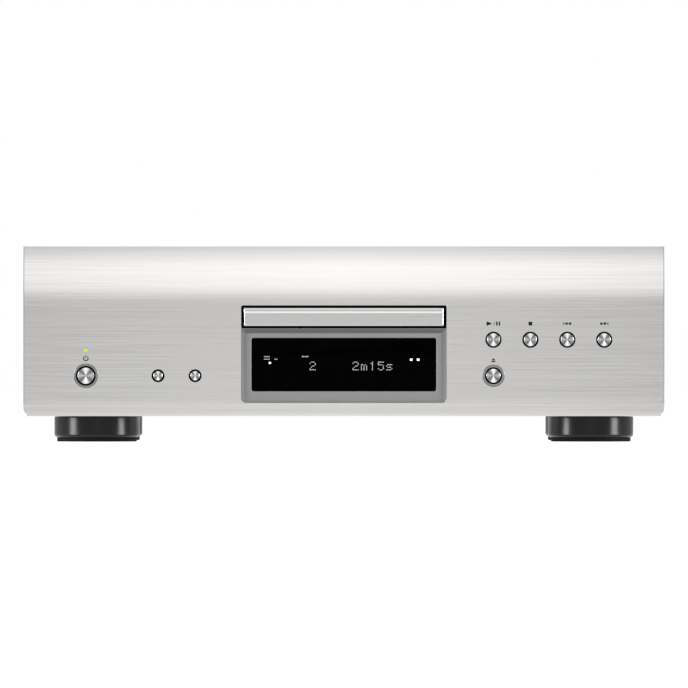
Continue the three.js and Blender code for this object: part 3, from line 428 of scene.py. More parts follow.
def solderMask(name):
    finish = Finish(name, Coat_Weight=0.35, Coat_Roughness=0.15)
    tracks = finish.nodes.new("ShaderNodeTexBrick")
    tracks.inputs["Scale"].default_value = 60
    tracks.inputs["Mortar Size"].default_value = 0.012
    greens = (("Color1", (0.012, 0.1, 0.045)), ("Color2", (0.016, 0.125, 0.055)))
    greens += (("Mortar", (0.05, 0.24, 0.1)),)
    for socket, rgb in greens:
        tracks.inputs[socket].default_value = (*rgb, 1)
    finish.links.new(finish.place(), tracks.inputs["Vector"])
    finish.links.new(tracks.outputs["Color"], finish.shader.inputs["Base Color"])
    finish.shine(finish.grain((900, 900, 900), detail=2.0), 0.32, 0.48)
    return finish.relief(tracks.outputs["Fac"], 0.3, 0.03).made


def lensGlass(name, tone, shine, gloss):
    finish = Finish(name, Specular_IOR_Level=gloss, Coat_Weight=0.0)
    haze = finish.grain((60, 60, 60), detail=3.0)
    finish.colour(haze, shades(tone, 0.0, (0.3, 0.8), (0.7, 1.3)))
    return finish.shine(haze, shine, shine * 1.5).made


def opticGlass(name):
    finish = Finish(name, IOR=1.5, Coat_Weight=0.6, Coat_Roughness=0.03)
    coating = finish.grain((260, 260, 260), detail=2.0)
    finish.colour(coating, ((0.3, (0.05, 0.07, 0.2)), (0.7, (0.1, 0.08, 0.24))))
    return finish.shine(coating, 0.04, 0.08).made


finishes = {
    # the panel's aluminium carries painted shade towards its two ends
    "panel": brushedMetal("panelAluminium", 0.61, 0.014, 0.17, paintedEndShade=-0.15),
    "lid": brushedMetal("lidAluminium", 0.57, 0.01, 0.17),
    # the button caps carry painted highlight wedges
    "cap": spunMetal("buttonMetal", 0.62, 0.22, 0.8, paintedHighlightWedges=True),
    "ring": spunMetal("ringMetal", 0.27, 0.3, 0.4),
    "bezel": paintedSteel("bezelGrey", 0.175, 0.42, 0.004, metal=0.25),
    # painted highlight: a lighter copy of the bezel grey for the chamfer round the window
    "bezelEdge": paintedSteel("bezelEdge", 0.21, 0.4, 0.004, metal=0.25),
    # painted shade: a darker copy of the bezel grey for the top and side slopes
    "bezelSlope": paintedSteel("bezelSlope", 0.085, 0.42, 0.004, metal=0.25),
    # black plastic for the real black parts, and painted shade in the button bores and behind the caps
    "black": mouldedPlastic("blackPlastic", 0.0008, 0.5, gloss=0.03),
    "socket": mouldedPlastic("socketPlastic", 0.012, 0.5),
    "tray": mouldedPlastic("trayPlastic", 0.022, 0.55, texture=1800, depth=0.03),
    "white": mouldedPlastic("whitePlastic", 0.74, 0.42, warmth=0.02),
    "cover": paintedSteel("coverPaint", 0.34, 0.42, 0.012, metal=0.5),
    "zinc": zincSheet("zincSteel"),
    "dark": paintedSteel("transformerCan", 0.03, 0.4, 0.0),
    "foot": mouldedPlastic("footPlastic", 0.0009, 0.25, texture=500, depth=0.0006, gloss=0.3),
    "rubber": mouldedPlastic("footRubber", 0.004, 0.8, texture=3200, depth=0.05, gloss=0.08),
    "belt": mouldedPlastic("beltRubber", 0.016, 0.7, texture=2400, gloss=0.3),
    "board": solderMask("circuitBoard"),
    "symbol": paintedLine("panelPrint", (0.004, 0.004, 0.0045), 0.6),
    "light": glowing("powerLight", (0.42, 0.56, 0.04), 0.68),
    "digits": glowing("displayDots", (0.6, 0.68, 0.68), 0.36),
    "bright": glowing("displayBlocks", (0.8, 1.0, 1.0), 0.6),
    "faint": glowing("displayMarks", (0.45, 0.52, 0.54), 0.3),
    "screw": spunMetal("screwZinc", 0.55, 0.28, 0.3, axis="Z"),
    "gold": spunMetal("goldPlate", 0.8, 0.22, 0.3, warmth=0.28),
    "tin": spunMetal("tinPlate", 0.72, 0.3, 0.2, axis="Z"),
    "red": mouldedPlastic("jackRed", 0.2, 0.4, warmth=0.9),
    "ceramic": mouldedPlastic("jackWhite", 0.7, 0.4),
    "chip": mouldedPlastic("chipEpoxy", 0.018, 0.5, texture=3000),
    "sleeve": mouldedPlastic("capacitorSleeve", 0.03, 0.3, texture=600, depth=0.004),
    "lens": lensGlass("displayLens", 0.0002, 0.06, 0.01),
    "tube": lensGlass("displayGlass", 0.03, 0.1, 0.6),
    "optic": opticGlass("lensGlass"),
}
print("finishes ready:", len(finishes))

# ---- front panel ----

panelPlan = {
    "curveRise": 43,      # height of the part that leans back at the top
    "curveBack": 8.6,
    "chinRise": 8.5,      # height of the part that tucks under at the bottom
    "chinBack": 2.8,
    "cornerRadius": 5.5,
    "edge": 0.5,
    "wall": 3.5,
    "chamfer": 0.22,
    "openingChamfer": 0.08,
    "openingRound": 3.1,
    "steps": 22,
    "holes": {
        "power_button": 8.0, "eject_button": 7.3, "layer_button": 4.2, "direct_button": 4.2,
        "play_pause_button": 5.3, "stop_button": 5.3, "previous_button": 5.3, "next_button": 5.3,
        "power_light": 1.25,
    },
}
panelLow, panelHigh = span("front_panel")
panelFace = panelLow.y
flangeWide = 3            # hidden rim that holds the bezel and the surround behind the panel
flangeFace = panelFace + 3.8


def panelSetback(z):
    lean = (z - panelHigh.z + panelPlan["curveRise"]) / panelPlan["curveRise"]
    chin = (panelLow.z + panelPlan["chinRise"] - z) / panelPlan["chinRise"]
    return panelPlan["curveBack"] * max(lean, 0) ** 3 + panelPlan["chinBack"] * max(chin, 0) ** 2


def roundOff(distance, radius):
    return radius - math.sqrt(radius ** 2 - max(radius - distance, 0) ** 2)


def panelSection(x):
    # one upright slice, from the chin up the face and down the back
    edge = panelPlan["edge"]
    inset = panelHigh.x - abs(x)
    bottom = panelLow.z + roundOff(inset, panelPlan["cornerRadius"])
    rises = [0, edge * 0.12, edge * 0.4, edge, 1.4, 2.2, 3, 4, 5, 6, 7, panelPlan["chinRise"], 12, 30, 52]
    levels = [panelLow.z + rise for rise in rises]
    curveStart, climb = panelHigh.z - panelPlan["curveRise"], panelPlan["curveRise"] - edge
    levels += [curveStart + climb * i / panelPlan["steps"] for i in range(panelPlan["steps"] + 1)]
    levels += [panelHigh.z - edge * 0.4, panelHigh.z - edge * 0.12, panelHigh.z]
    squeezed = 20             # the rounded lower corners only move the points below this height
    ring = []
    for z in levels:
        if z < panelLow.z + squeezed:
            z = bottom + (z - panelLow.z) * (panelLow.z + squeezed - bottom) / squeezed
        easing = roundOff(inset, edge) + roundOff(z - bottom, edge) + roundOff(panelHigh.z - z, edge)
        ring.append(Vector((x, panelFace + panelSetback(z) + easing, z)))
    return ring + [Vector((x, panelHigh.y, panelHigh.z)), Vector((x, panelHigh.y, bottom))]


def panelHollow():
    wall, half, slices = panelPlan["wall"], panelHigh.x, 30
    bm = bmesh.new()
    rings = []
    for x in (-half + wall, half - wall):
        tall = panelHigh.z - panelLow.z - 2 * wall
        levels = [panelLow.z + wall + tall * i / slices for i in range(slices + 1)]
        ring = [Vector((x, panelFace + wall + panelSetback(z), z)) for z in levels]
        back = panelHigh.y + 2
        rings.append(ring + [Vector((x, back, levels[-1])), Vector((x, back, levels[0]))])
    loft(bm, rings)
    return bm


def panelHoles():
    before, behind = panelFace - 1, panelFace + panelPlan["wall"] + 4
    bm = bmesh.new()
    for name, radius in panelPlan["holes"].items():
        chamfer = panelPlan["chamfer"] * (0.5 if name == "power_light" else 1)
        centre = middle(name)
        centre.y = 0
        profile = [(0, before), (radius + chamfer + 1, before), (radius, panelFace + chamfer)]
        # painted shade: the bore of each hole, deeper than its chamfer, gets the near-black finish
        for face in turnedSolid(bm, profile + [(radius, behind), (0, behind)], "y", centre, steps=72):
            if face.calc_center_median().y > (panelFace + panelPlan["chamfer"] + 0.1) * mm:
                face.material_index = 1
    reach = openingReach()
    chamfer, corner, gap = panelPlan["openingChamfer"], panelPlan["openingRound"], 0.1
    rings = []
    for y, grow in ((before, chamfer + 1), (panelFace + chamfer, 0), (behind, 0)):
        wide, low, high = reach["half"] + gap + grow, reach["low"] - gap - grow, reach["high"] + gap + grow
        rings.append(ringOfFrame(-wide, wide, low, high, y, corner + grow, 0.9 + grow))
    loft(bm, rings)
    return bm


def makeFrontPanel():
    edge, corner, half = panelPlan["edge"], panelPlan["cornerRadius"], panelHigh.x
    insets = [0, edge * 0.12, edge * 0.4, edge]
    insets += [corner * (1 - math.cos(math.radians(angle))) for angle in range(30, 91, 10)]
    insets += [12, 40, 80, 120, 160]
    places = [-half + inset for inset in insets] + [0] + [half - inset for inset in reversed(insets)]
    bm = bmesh.new()
    loft(bm, [panelSection(x) for x in places])
    bm = carve(carve(bm, panelHollow()), panelHoles())
    makePiece("frontPanel", bm, ["panel", "black"], "front_panel", smooth=28)


def openingReach():
    # the centre opening, taken from the solids that fill it
    surround = span("tray_surround")[1]
    bezelLow, bezelHigh = span("display_bezel")
    return {
        "half": surround.x - flangeWide,
        "low": bezelLow.z + flangeWide,
        "high": surround.z - flangeWide,
        "split": bezelHigh.z,             # where the bezel ends and the surround begins
    }


makeFrontPanel()
print("front panel made")

# ---- disc lid, its surround, the bezel and the display ----

surroundPlan = {"setback": 0.75, "gap": 0.28, "round": 0.35, "innerHalf": 66.6}


def makeTraySurround():
    reach = openingReach()
    high = span("tray_surround")[1]
    lidLow, lidHigh = span("tray_lid")
    half, split, top, gap = reach["half"], reach["split"] + 0.3, reach["high"], surroundPlan["gap"]
    front, soft, inner = panelFace + surroundPlan["setback"], surroundPlan["round"], surroundPlan["innerHalf"]
    back, flange = high.y, flangeFace

    def outer(y, inset, highRadius):
        return ringOfFrame(-half + inset, half - inset, split + inset, top - inset, y, 0.3, highRadius)

    def lidGap(y, grow, radius):
        return ringOfFrame(lidLow.x - grow, lidHigh.x + grow, lidLow.z - grow, lidHigh.z + grow, y, radius)

    def rim(y):
        return ringOfFrame(-half - flangeWide, half + flangeWide, split, top + flangeWide, y, 0.3, 0.8)

    rings = [outer(flange, 0, 0.8), outer(front + soft, 0, 0.8)]
    rings += [outer(front + soft * 0.3, soft * 0.3, 0.7), outer(front, soft, 0.5)]
    rings += [lidGap(front, gap + 0.2, 0.5), lidGap(front + 0.2, gap, 0.4), lidGap(panelFace + 4, gap, 0.4)]
    rings += [ringOfFrame(-inner, inner, lidLow.z + 0.3, lidHigh.z - 0.3, back, 0.4)]
    rings += [outer(back, 0, 0.8), outer(flange + 1.5, 0, 0.8), rim(flange + 1.4), rim(flange)]
    bm = bmesh.new()
    loft(bm, rings, around=True)
    # partly painted shade: the black plastic surround is made as dark as the shaded gap round the lid
    makePiece("traySurround", bm, ["black"], "tray_surround")


lidPlan = {
    "sideBevel": 0.5,
    "edgeBack": 1.25,
    # distances down from the top or up from the bottom, then back from the face
    "top": ((0, 1.25), (0.12, 0.8), (1.1, 0.32), (2.35, 0.32), (3.45, 0)),
    "bottom": ((1.15, 0), (0.12, 0.75), (0, 1.25)),
}


def makeTrayLid():
    low, high = span("tray_lid")
    section = [(high.z - down, low.y + back) for down, back in lidPlan["top"]]
    section += [(low.z + up, low.y + back) for up, back in lidPlan["bottom"]]
    side, edge = lidPlan["sideBevel"], low.y + lidPlan["edgeBack"]
    columns = ((0, 1), (0.1, 0.5), (side - 0.1, 0.05), (side, 0), (side + 0.1, 0))
    places = [(low.x + inset, share) for inset, share in columns]
    places += [(high.x - inset, share) for inset, share in reversed(columns)]
    rings = []
    for x, share in places:
        ring = [Vector((x, max(y, y + (edge - y) * share), z)) for z, y in section]
        rings.append(ring + [Vector((x, high.y, low.z)), Vector((x, high.y, high.z))])
    bm = bmesh.new()
    loft(bm, rings)
    makePiece("trayLid", bm, ["lid"], "tray_lid", smooth=6)


bezelPlan = {"side": 3.6, "top": 3.4, "bottom": 1.4, "recess": 1.8, "line": 0.4, "rim": 0.35, "proud": 0.12}
windowPlan = {"inset": 1.85, "round": 1.5, "glassBack": 0.5, "glassStep": 5.5}


def windowReach():
    low, high = span("display_lens")
    inset = windowPlan["inset"]
    return {"half": high.x - inset, "low": low.z + inset, "high": high.z - inset}


def makeBezel():
    reach, window = openingReach(), windowReach()
    half, bottom, top = reach["half"], reach["low"], reach["split"]
    face, recess = panelFace + bezelPlan["proud"], panelFace + bezelPlan["recess"]
    line, rim, side, over, under = (bezelPlan[key] for key in ("line", "rim", "side", "top", "bottom"))
    rimBack = panelFace + 5.2

    def around(y, left, below, above, lowRadius, highRadius):
        return ringOfFrame(-half + left, half - left, bottom + below, top - above, y, lowRadius, highRadius)

    def windowRing(y, grow):
        wide, radius = window["half"] + grow, windowPlan["round"] + grow * 0.6
        return ringOfFrame(-wide, wide, window["low"] - grow, window["high"] + grow, y, radius)

    def flange(y):
        return ringOfFrame(-half - flangeWide, half + flangeWide, bottom - flangeWide, top, y, 2.2, 0.2)

    rings = [around(flangeFace, 0, 0, 0, 3.0, 0.2), around(face + 0.3, 0, 0, 0, 3.0, 0.2)]
    rings += [around(face + 0.08, 0.08, 0.08, 0.08, 2.95, 0.2), around(face, 0.3, 0.3, 0.3, 2.8, 0.2)]
    rings += [around(face + 0.03, rim, rim, rim, 2.8, 0.2)]
    rings += [around(recess - 0.05, side - 0.15, under - 0.1, over - 0.15, 1.2, 0.4)]
    rings += [around(recess, side, under, over, 1.1, 0.4), windowRing(recess, line)]
    rings += [windowRing(recess + 0.05, line - 0.05), windowRing(recess + 0.45, 0.08)]
    rings += [windowRing(recess + 0.5, 0.02), windowRing(rimBack, 0.02)]
    rings += [around(rimBack, 0.6, 0.6, 0.6, 2.0, 0.2), around(rimBack + 0.05, 0, 0, 0, 2.2, 0.2)]
    rings += [flange(rimBack), flange(flangeFace)]
    bm = bmesh.new()
    made = loft(bm, rings, around=True)
    perRing, slope = len(rings[0]), 4
    # painted shade and painted highlight: the top and side slopes get the darker copy of the bezel grey, the sill
    # slope keeps the plain grey, and the edge round the window gets the lighter copy
    for band, coat in ((slope, 2), (7, 1), (8, 1)):      # the slope, then the line round the window
        for face in made[band * perRing:(band + 1) * perRing]:
            atSill = face.calc_center_median().z < (bottom + under) * mm
            face.material_index = 0 if band == slope and atSill else coat
    makePiece("displayBezel", bm, ["bezel", "bezelEdge", "bezelSlope"], "display_bezel", smooth=14)


def makeLens():
    low, high = span("display_lens")
    window, gap = windowReach(), 0.1
    wide, sill, head = window["half"] - gap, window["low"] + gap, window["high"] - gap
    front = panelFace + bezelPlan["recess"] + windowPlan["glassBack"]
    step = panelFace + windowPlan["glassStep"]

    def pane(y, inset, radius):
        return ringOfFrame(-wide + inset, wide - inset, sill + inset, head - inset, y, radius)

    bm = bmesh.new()
    rings = [pane(front, 0.2, 1.25), pane(front + 0.05, 0.05, 1.35)]
    rings += [pane(front + 0.2, 0, 1.4), pane(step, 0, 1.4)]
    rings += [ringOfFrame(low.x, high.x, low.z, high.z, y, 1.2) for y in (step, high.y)]
    loft(bm, rings)
    makePiece("displayLens", bm, ["lens"], "display_lens", smooth=25)


# dots lit in each row of a figure, top row first
dotLetters = {
    "2": ("01110", "10001", "00001", "00110", "01000", "10000", "11111"),
    "1": ("00100", "01100", "00100", "00100", "00100", "00100", "00100"),
    "5": ("11111", "10000", "11110", "00001", "00001", "10001", "01110"),
    "m": ("00000", "00000", "11010", "10101", "10101", "10101", "10101"),
    "s": ("00000", "00000", "01111", "10000", "01110", "00001", "11110"),
}
displayPlan = {
    "pitch": 0.87,
    "dot": 0.5,
    "advance": 5.7,
    "lines": (("2", -22.9), ("2m15s", 6.2)),   # characters and where the line starts
    "baseline": 48.7,
    "dash": 0.8,                               # length of one dash of the faint marks
    # middle, width and height of each mark
    "marks": ((45.6, 55.6, 1.8, 1.45), (50.3, 55.6, 1.8, 1.45), (-50.1, 53.4, 1.5, 1.35)),
    "faintMarks": (
        (-52.2, 57.6, 4.0, 0.55), (-52.2, 55.9, 4.0, 0.55), (-46.0, 55.9, 2.2, 0.55), (-26.2, 57.7, 4.6, 0.7),
    ),
}


def makeDisplay():
    front = panelFace + bezelPlan["recess"] + windowPlan["glassBack"]
    size, pitch = displayPlan["dot"] / 2, displayPlan["pitch"]
    bm = bmesh.new()

    def dot(x, z, wide, tall, finish=0):
        low, high = (x - wide, front - 0.04, z - tall), (x + wide, front + 0.05, z + tall)
        block(bm, low, high, edge=0.04, finish=finish, steps=1)

    for text, start in displayPlan["lines"]:
        for place, letter in enumerate(text):
            for row, cells in enumerate(dotLetters[letter]):
                for column, lit in enumerate(cells):
                    if lit == "1":
                        x = start + place * displayPlan["advance"] + column * pitch
                        dot(x, displayPlan["baseline"] + (6 - row) * pitch, size, size)
    for x, z, wide, tall in displayPlan["marks"]:
        dot(x, z, wide / 2, tall / 2, finish=2)
    for x, z, wide, tall in displayPlan["faintMarks"]:
        count = max(int(wide / displayPlan["dash"]), 2)
        for i in range(count):
            dot(x - wide / 2 + wide * (i + 0.5) / count, z, wide / count * 0.36, tall / 2, finish=1)
    makePiece("displayFigures", bm, ["digits", "faint", "bright"], "display_lens", stands=False)


makeTraySurround()
makeTrayLid()
makeBezel()
makeLens()
makeDisplay()
print("lid, bezel and display made")

# ---- buttons, rings, light and printed symbols ----

buttonPlan = {
    "dish": 0.06,             # depth of the hollow in the cap, as a share of its radius
    "capDepth": 2.6,
    "stem": 1.6,
    "capRadius": {"power_button": 5.5, "eject_button": 4.7, "layer_button": 3.15, "direct_button": 3.15},
    "otherCaps": 4.35,
}


def makeButton(node):
    low, high, centre, flange = reachOf(node)
    cap = buttonPlan["capRadius"].get(node, buttonPlan["otherCaps"])
    front, back, stem = low.y, high.y, buttonPlan["stem"]
    dish, capBack, skirt = cap * buttonPlan["dish"], low.y + buttonPlan["capDepth"], cap - 0.12
    profile = [(0, front + dish), (cap * 0.04, front + dish * 0.97)]
    profile += [(cap * 0.93 * i / 8, front + dish * (1 - i / 8)) for i in range(1, 9)]
    profile += [(cap - 0.2, front + 0.03), (cap - 0.07, front + 0.12), (cap, front + 0.3), (cap, front + 0.5)]
    profile += [(cap, capBack), (skirt, capBack + 0.1), (skirt, flangeFace), (flange, flangeFace + 0.05)]
    profile += [(flange, panelFace + 5), (stem, panelFace + 5), (stem, back - 0.2)]
    profile += [(stem - 0.2, back), (0, back)]
    bm = bmesh.new()
    # painted shade: the skirt, flange and stem behind the cap front get the near-black finish
    for face in turnedSolid(bm, profile, "y", steps=72):
        if face.calc_center_median().y > (front + 0.5) * mm:
            face.material_index = 1
    name = node.split("_button")[0].replace("_", "") + "Button"
    makePiece(name, bm, ["cap", "black"], node, smooth=30, place=Vector((centre.x, 0, centre.z)))


ringBores = {"power_ring": 6.7, "eject_ring": 5.7}


def makeRing(node):
    low, high, centre, outer = reachOf(node)
    hole, front, back = ringBores[node], low.y, high.y
    profile = [(hole, back), (hole, front + 0.35), (hole + 0.12, front + 0.1), (hole + 0.3, front)]
    profile += [(outer - 0.35, front), (outer - 0.1, front + 0.1), (outer, front + 0.35), (outer, back)]
    bm = bmesh.new()
    turnedSolid(bm, profile + profile[:1], "y", steps=72)
    place = Vector((centre.x, 0, centre.z))
    makePiece(node.replace("_ring", "Ring"), bm, ["ring"], node, smooth=30, place=place)


def makePowerLight():
    low, high, centre, _ = reachOf("power_light")
    radius, bulge = panelPlan["holes"]["power_light"] - 0.05, 0.5
    turns = [math.radians(angle) for angle in range(0, 91, 10)]
    dome = [(radius * math.sin(turn), low.y + bulge * (1 - math.cos(turn))) for turn in turns]
    profile = dome + [(radius, high.y - 0.2), (radius - 0.2, high.y), (0, high.y)]
    bm = bmesh.new()
    turnedSolid(bm, profile, "y", Vector((centre.x, 0, centre.z)), steps=40)
    makePiece("powerLight", bm, ["light"], "power_light")


# how thick the print is, and how far each symbol stands above the middle of its button
symbolPlan = {"thickness": 0.04, "rise": 10.9, "ejectRise": 10.5, "powerRise": 11.7, "powerArc": (1.85, 1.2)}


def makeSymbols():
    bm = bmesh.new()
    front, back = panelFace - symbolPlan["thickness"], panelFace + 0.05

    def flat(points):
        loft(bm, [[Vector((x, y, z)) for x, z in points] for y in (front, back)])

    def strip(x, z, wide, tall):
        left, right, low, high = x - wide / 2, x + wide / 2, z - tall / 2, z + tall / 2
        flat([(left, low), (right, low), (right, high), (left, high)])

    def arrow(x, z, wide, tall, way=1):
        flat([(x - way * wide / 2, z - tall / 2), (x + way * wide / 2, z), (x - way * wide / 2, z + tall / 2)])

    def above(node, rise):
        centre = middle(node)
        return centre.x, centre.z + symbolPlan[rise]

    x, z = above("play_pause_button", "rise")
    arrow(x - 2.75, z, 3.9, 3.1)
    flat([(x - 0.15, z - 1.4), (x + 0.2, z - 1.4), (x + 1.1, z + 1.4), (x + 0.75, z + 1.4)])
    strip(x + 2.3, z, 1.0, 2.7)
    strip(x + 4.05, z, 1.0, 2.7)
    x, z = above("stop_button", "rise")
    strip(x, z, 2.5, 2.5)
    for node, way in (("previous_button", -1), ("next_button", 1)):
        x, z = above(node, "rise")
        strip(x + way * 2.5, z, 0.5, 2.1)
        arrow(x - way * 1.4, z, 2.4, 2.1, way)
        arrow(x + way * 0.95, z, 2.4, 2.1, way)
    x, z = above("eject_button", "ejectRise")
    flat([(x - 1.35, z - 0.1), (x + 1.35, z - 0.1), (x, z + 1.5)])
    strip(x, z - 0.9, 2.6, 0.8)
    x, z = above("power_button", "powerRise")
    turns = [math.radians(angle) for angle in range(126, 415, 12)]
    outer, inner = ([(x + radius * math.cos(turn), z + radius * math.sin(turn)) for turn in turns]
                    for radius in symbolPlan["powerArc"])
    for i in range(len(turns) - 1):
        flat([outer[i], inner[i], inner[i + 1], outer[i + 1]])
    strip(x, z + 1.3, 0.5, 1.9)
    makePiece("panelSymbols", bm, ["symbol"], "front_panel", stands=False)


for node in frame["nodes"]:
    if node.endswith("_button"):
        makeButton(node)
for node in frame["nodes"]:
    if node.endswith("_ring"):
        makeRing(node)
makePowerLight()
makeSymbols()
print("controls made")

# ---- casing: cover, base, rear panel, feet and screws ----

coverPlan = {"sheet": 1.2, "bend": 2.2, "hem": 0.35, "steps": 8}


def makeCover():
    low, high = span("top_cover")
    sheet, bend, hem, steps = (coverPlan[key] for key in ("sheet", "bend", "hem", "steps"))

    def section(y, inset):
        outer, inner = [], []
        wide, top = high.x - inset, high.z - inset
        outer.append((-wide, low.z + inset))
        for start, centreX in ((180, -wide + bend), (90, wide - bend)):
            for i in range(steps + 1):
                turn = math.radians(start - 90 * i / steps)
                outer.append((centreX + bend * math.cos(turn), top - bend + bend * math.sin(turn)))
        outer.append((wide, low.z + inset))
        wide, top, small = high.x - sheet + inset, high.z - sheet + inset, bend - sheet
        inner.append((wide, low.z + inset))
        for start, centreX in ((0, wide - small), (90, -wide + small)):
            for i in range(steps + 1):
                turn = math.radians(start + 90 * i / steps)
                inner.append((centreX + small * math.cos(turn), top - small + small * math.sin(turn)))
        inner.append((-wide, low.z + inset))
        return [Vector((x, y, z)) for x, z in outer + inner]

    bm = bmesh.new()
    loft(bm, [section(low.y, hem), section(low.y + hem, 0), section(high.y - hem, 0), section(high.y, hem)])
    makePiece("topCover", bm, ["cover"], "top_cover", smooth=30)


screwPlan = {
    "head": 3.1, "rise": 1.5, "shank": 1.4, "length": 5, "slot": 0.42, "reach": 1.75,
    "coverRise": 22,                                   # above the lower edge of the cover
    "coverInset": 40,                                  # from its front and back
    "rearHigh": (8, (-200, -120, -10, 96, 200)),       # below the top, and the places along it
    "rearLow": (10, (-200, -128, 0, 90, 200)),         # above the base
    "base": ((-150, -60, 60, 150), (-120, 0, 120)),
}


def crossRadius(turn, arm, reach):
    folded = abs(turn) % (math.pi / 2)
    folded = min(folded, math.pi / 2 - folded)
    return min(reach / max(math.cos(folded), 1e-6), arm / max(math.sin(folded), 1e-6))


def screwMesh(scale=1.0, steps=48):
    # the head points along -Y, its seat is at Y 0
    head, rise, shank, length = (screwPlan[key] * scale for key in ("head", "rise", "shank", "length"))
    arm, reach = screwPlan["slot"] * scale, screwPlan["reach"] * scale
    bm = bmesh.new()
    rings = []
    for share, depth in ((0.35, 0.78), (1.0, 0.02)):
        ring = []
        for i in range(steps):
            turn = 2 * math.pi * (i + 0.5) / steps
            radius = crossRadius(turn, arm * (0.6 + 0.4 * share), reach * (0.3 + 0.7 * share))
            ring.append(Vector((radius * math.cos(turn), -rise * (1 - depth), radius * math.sin(turn))))
        rings.append(ring)
    for angle in (38, 52, 66, 78, 90):
        turn = math.radians(angle)
        level = -rise * (0.25 + 0.75 * math.cos(turn))
        rings.append(ringOfCircle(head * math.sin(turn), level, "y", steps=steps))
    rings.append(ringOfCircle(head, 0, "y", steps=steps))
    rings.append(ringOfCircle(shank, 0, "y", steps=steps))
    rings.append(ringOfCircle(shank, length, "y", steps=steps))
    loft(bm, rings)
    tidyMesh(bm)
    mesh = bpy.data.meshes.new("screw")
    bm.to_mesh(mesh)
    bm.free()
    mesh.materials.append(finishes["screw"])
    mesh.shade_smooth()
    mesh.set_sharp_from_angle(angle=math.radians(32))
    return mesh


def placeScrew(mesh, name, place, way, node, turn):
    made = bpy.data.objects.new(name, mesh)
    scene.collection.objects.link(made)
    aim = Vector((0, -1, 0)).rotation_difference(Vector(way)).to_matrix().to_4x4()
    made.matrix_world = Matrix.Translation(Vector(place) * mm) @ aim @ Matrix.Rotation(turn, 4, "Y")
    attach(made, bodyOf(node))


def makeScrews():
    dice = random.Random(7)
    large, small = screwMesh(0.9), screwMesh(0.7)
    low, high = span("top_cover")
    rear, base, inset = span("rear_panel")[1], span("base_chassis")[0], 0.1
    ends, rise = screwPlan["coverInset"], screwPlan["coverRise"]
    placed = []
    for side, x in ((-1, low.x + inset), (1, high.x - inset)):
        for y in (low.y + ends, (low.y + high.y) / 2, high.y - ends):
            placed.append(("coverScrew", (x, y, low.z + rise), (side, 0, 0)))
    down, places = screwPlan["rearHigh"]
    placed += [("rearScrewHigh", (x, rear.y, rear.z - down), (0, 1, 0)) for x in places]
    up, places = screwPlan["rearLow"]
    placed += [("rearScrewLow", (x, rear.y, base.z + up), (0, 1, 0)) for x in places]
    for number, (name, place, way) in enumerate(placed, 1):
        mesh = small if name == "coverScrew" else large
        placeScrew(mesh, f"{name}.{number}", place, way, "top_cover", dice.uniform(0, math.pi))
    for x in screwPlan["base"][0]:
        for y in screwPlan["base"][1]:
            name, place = f"baseScrew.{x}.{y}".replace("-", "m"), (x, y, base.z + 0.85)
            placeScrew(small, name, place, (0, 0, -1), "base_chassis", dice.uniform(0, math.pi))


footPlan = {"edge": 0.7, "bevel": 1.5}


def makeFeet():
    for node in [name for name in frame["nodes"] if name.startswith("foot_") and "pad" not in name]:
        low, high, centre, radius = reachOf(node)
        centre.z = 0
        bevel, floor = footPlan["bevel"], low.z
        profile = [(0, floor), (radius - bevel - 0.2, floor), (radius - bevel * 0.7, floor + 0.12)]
        profile += [(radius - 0.35, floor + bevel * 0.55), (radius - 0.08, floor + bevel * 0.85)]
        profile += [(radius, floor + bevel * 1.2), (radius, high.z - footPlan["edge"])]
        profile += [(radius - 0.12, high.z - 0.2), (radius - 0.5, high.z), (0, high.z)]
        bm = bmesh.new()
        turnedSolid(bm, profile, "z", centre, steps=128)
        makePiece(node.replace("foot_", "foot.").replace("_", "."), bm, ["foot"], node, smooth=8)
        pad = node.replace("foot_", "foot_pad_")
        low, high = span(pad)
        radius = (high.x - low.x) / 2
        profile = [(0, low.z + 0.5), (radius - 7, low.z + 0.5), (radius - 6.6, low.z), (radius - 0.7, low.z)]
        profile += [(radius - 0.2, low.z + 0.2), (radius, low.z + 0.7), (radius, high.z - 0.15)]
        profile += [(radius - 0.2, high.z), (0, high.z)]
        bm = bmesh.new()
        turnedSolid(bm, profile, "z", centre, steps=128)
        makePiece(pad.replace("foot_pad_", "footPad.").replace("_", "."), bm, ["rubber"], pad, smooth=40)


ventPlan = {
    "wide": 3.2,
    "long": 26,
    "pitch": 7.5,
    "count": 11,
    "centres": ((-110, -20), (110, -20), (-20, 118)),
    "steps": 16,
}


def makeBase():
    low = span("base_chassis")[0]
    bm = cadCopy("base_chassis")
    slots = bmesh.new()
    long, wide = ventPlan["long"] / 2, ventPlan["wide"] / 2
    for centreX, centreY in ventPlan["centres"]:
        for i in range(ventPlan["count"]):
            x = centreX + (i - (ventPlan["count"] - 1) / 2) * ventPlan["pitch"]
            ring = []
            for k in range(ventPlan["steps"]):
                turn = 2 * math.pi * (k + 0.5) / ventPlan["steps"]
                end = long if math.sin(turn) > 0 else -long
                ring.append((x + wide * math.cos(turn), centreY + wide * math.sin(turn) + end))
            loft(slots, [[Vector((px, py, z)) for px, py in ring] for z in (low.z - 1, low.z + 1.7)])
    bm = carve(bm, slots)
    makePiece("baseChassis", bm, ["zinc"], "base_chassis", smooth=30)


makeCover()
makeBase()
makeFeet()
makeScrews()
print("casing made")

# ---- rear sockets ----

jackPlan = {"barrel": 4.15, "collar": 5.6, "hole": 1.7, "spread": 11, "remoteSpread": 7}


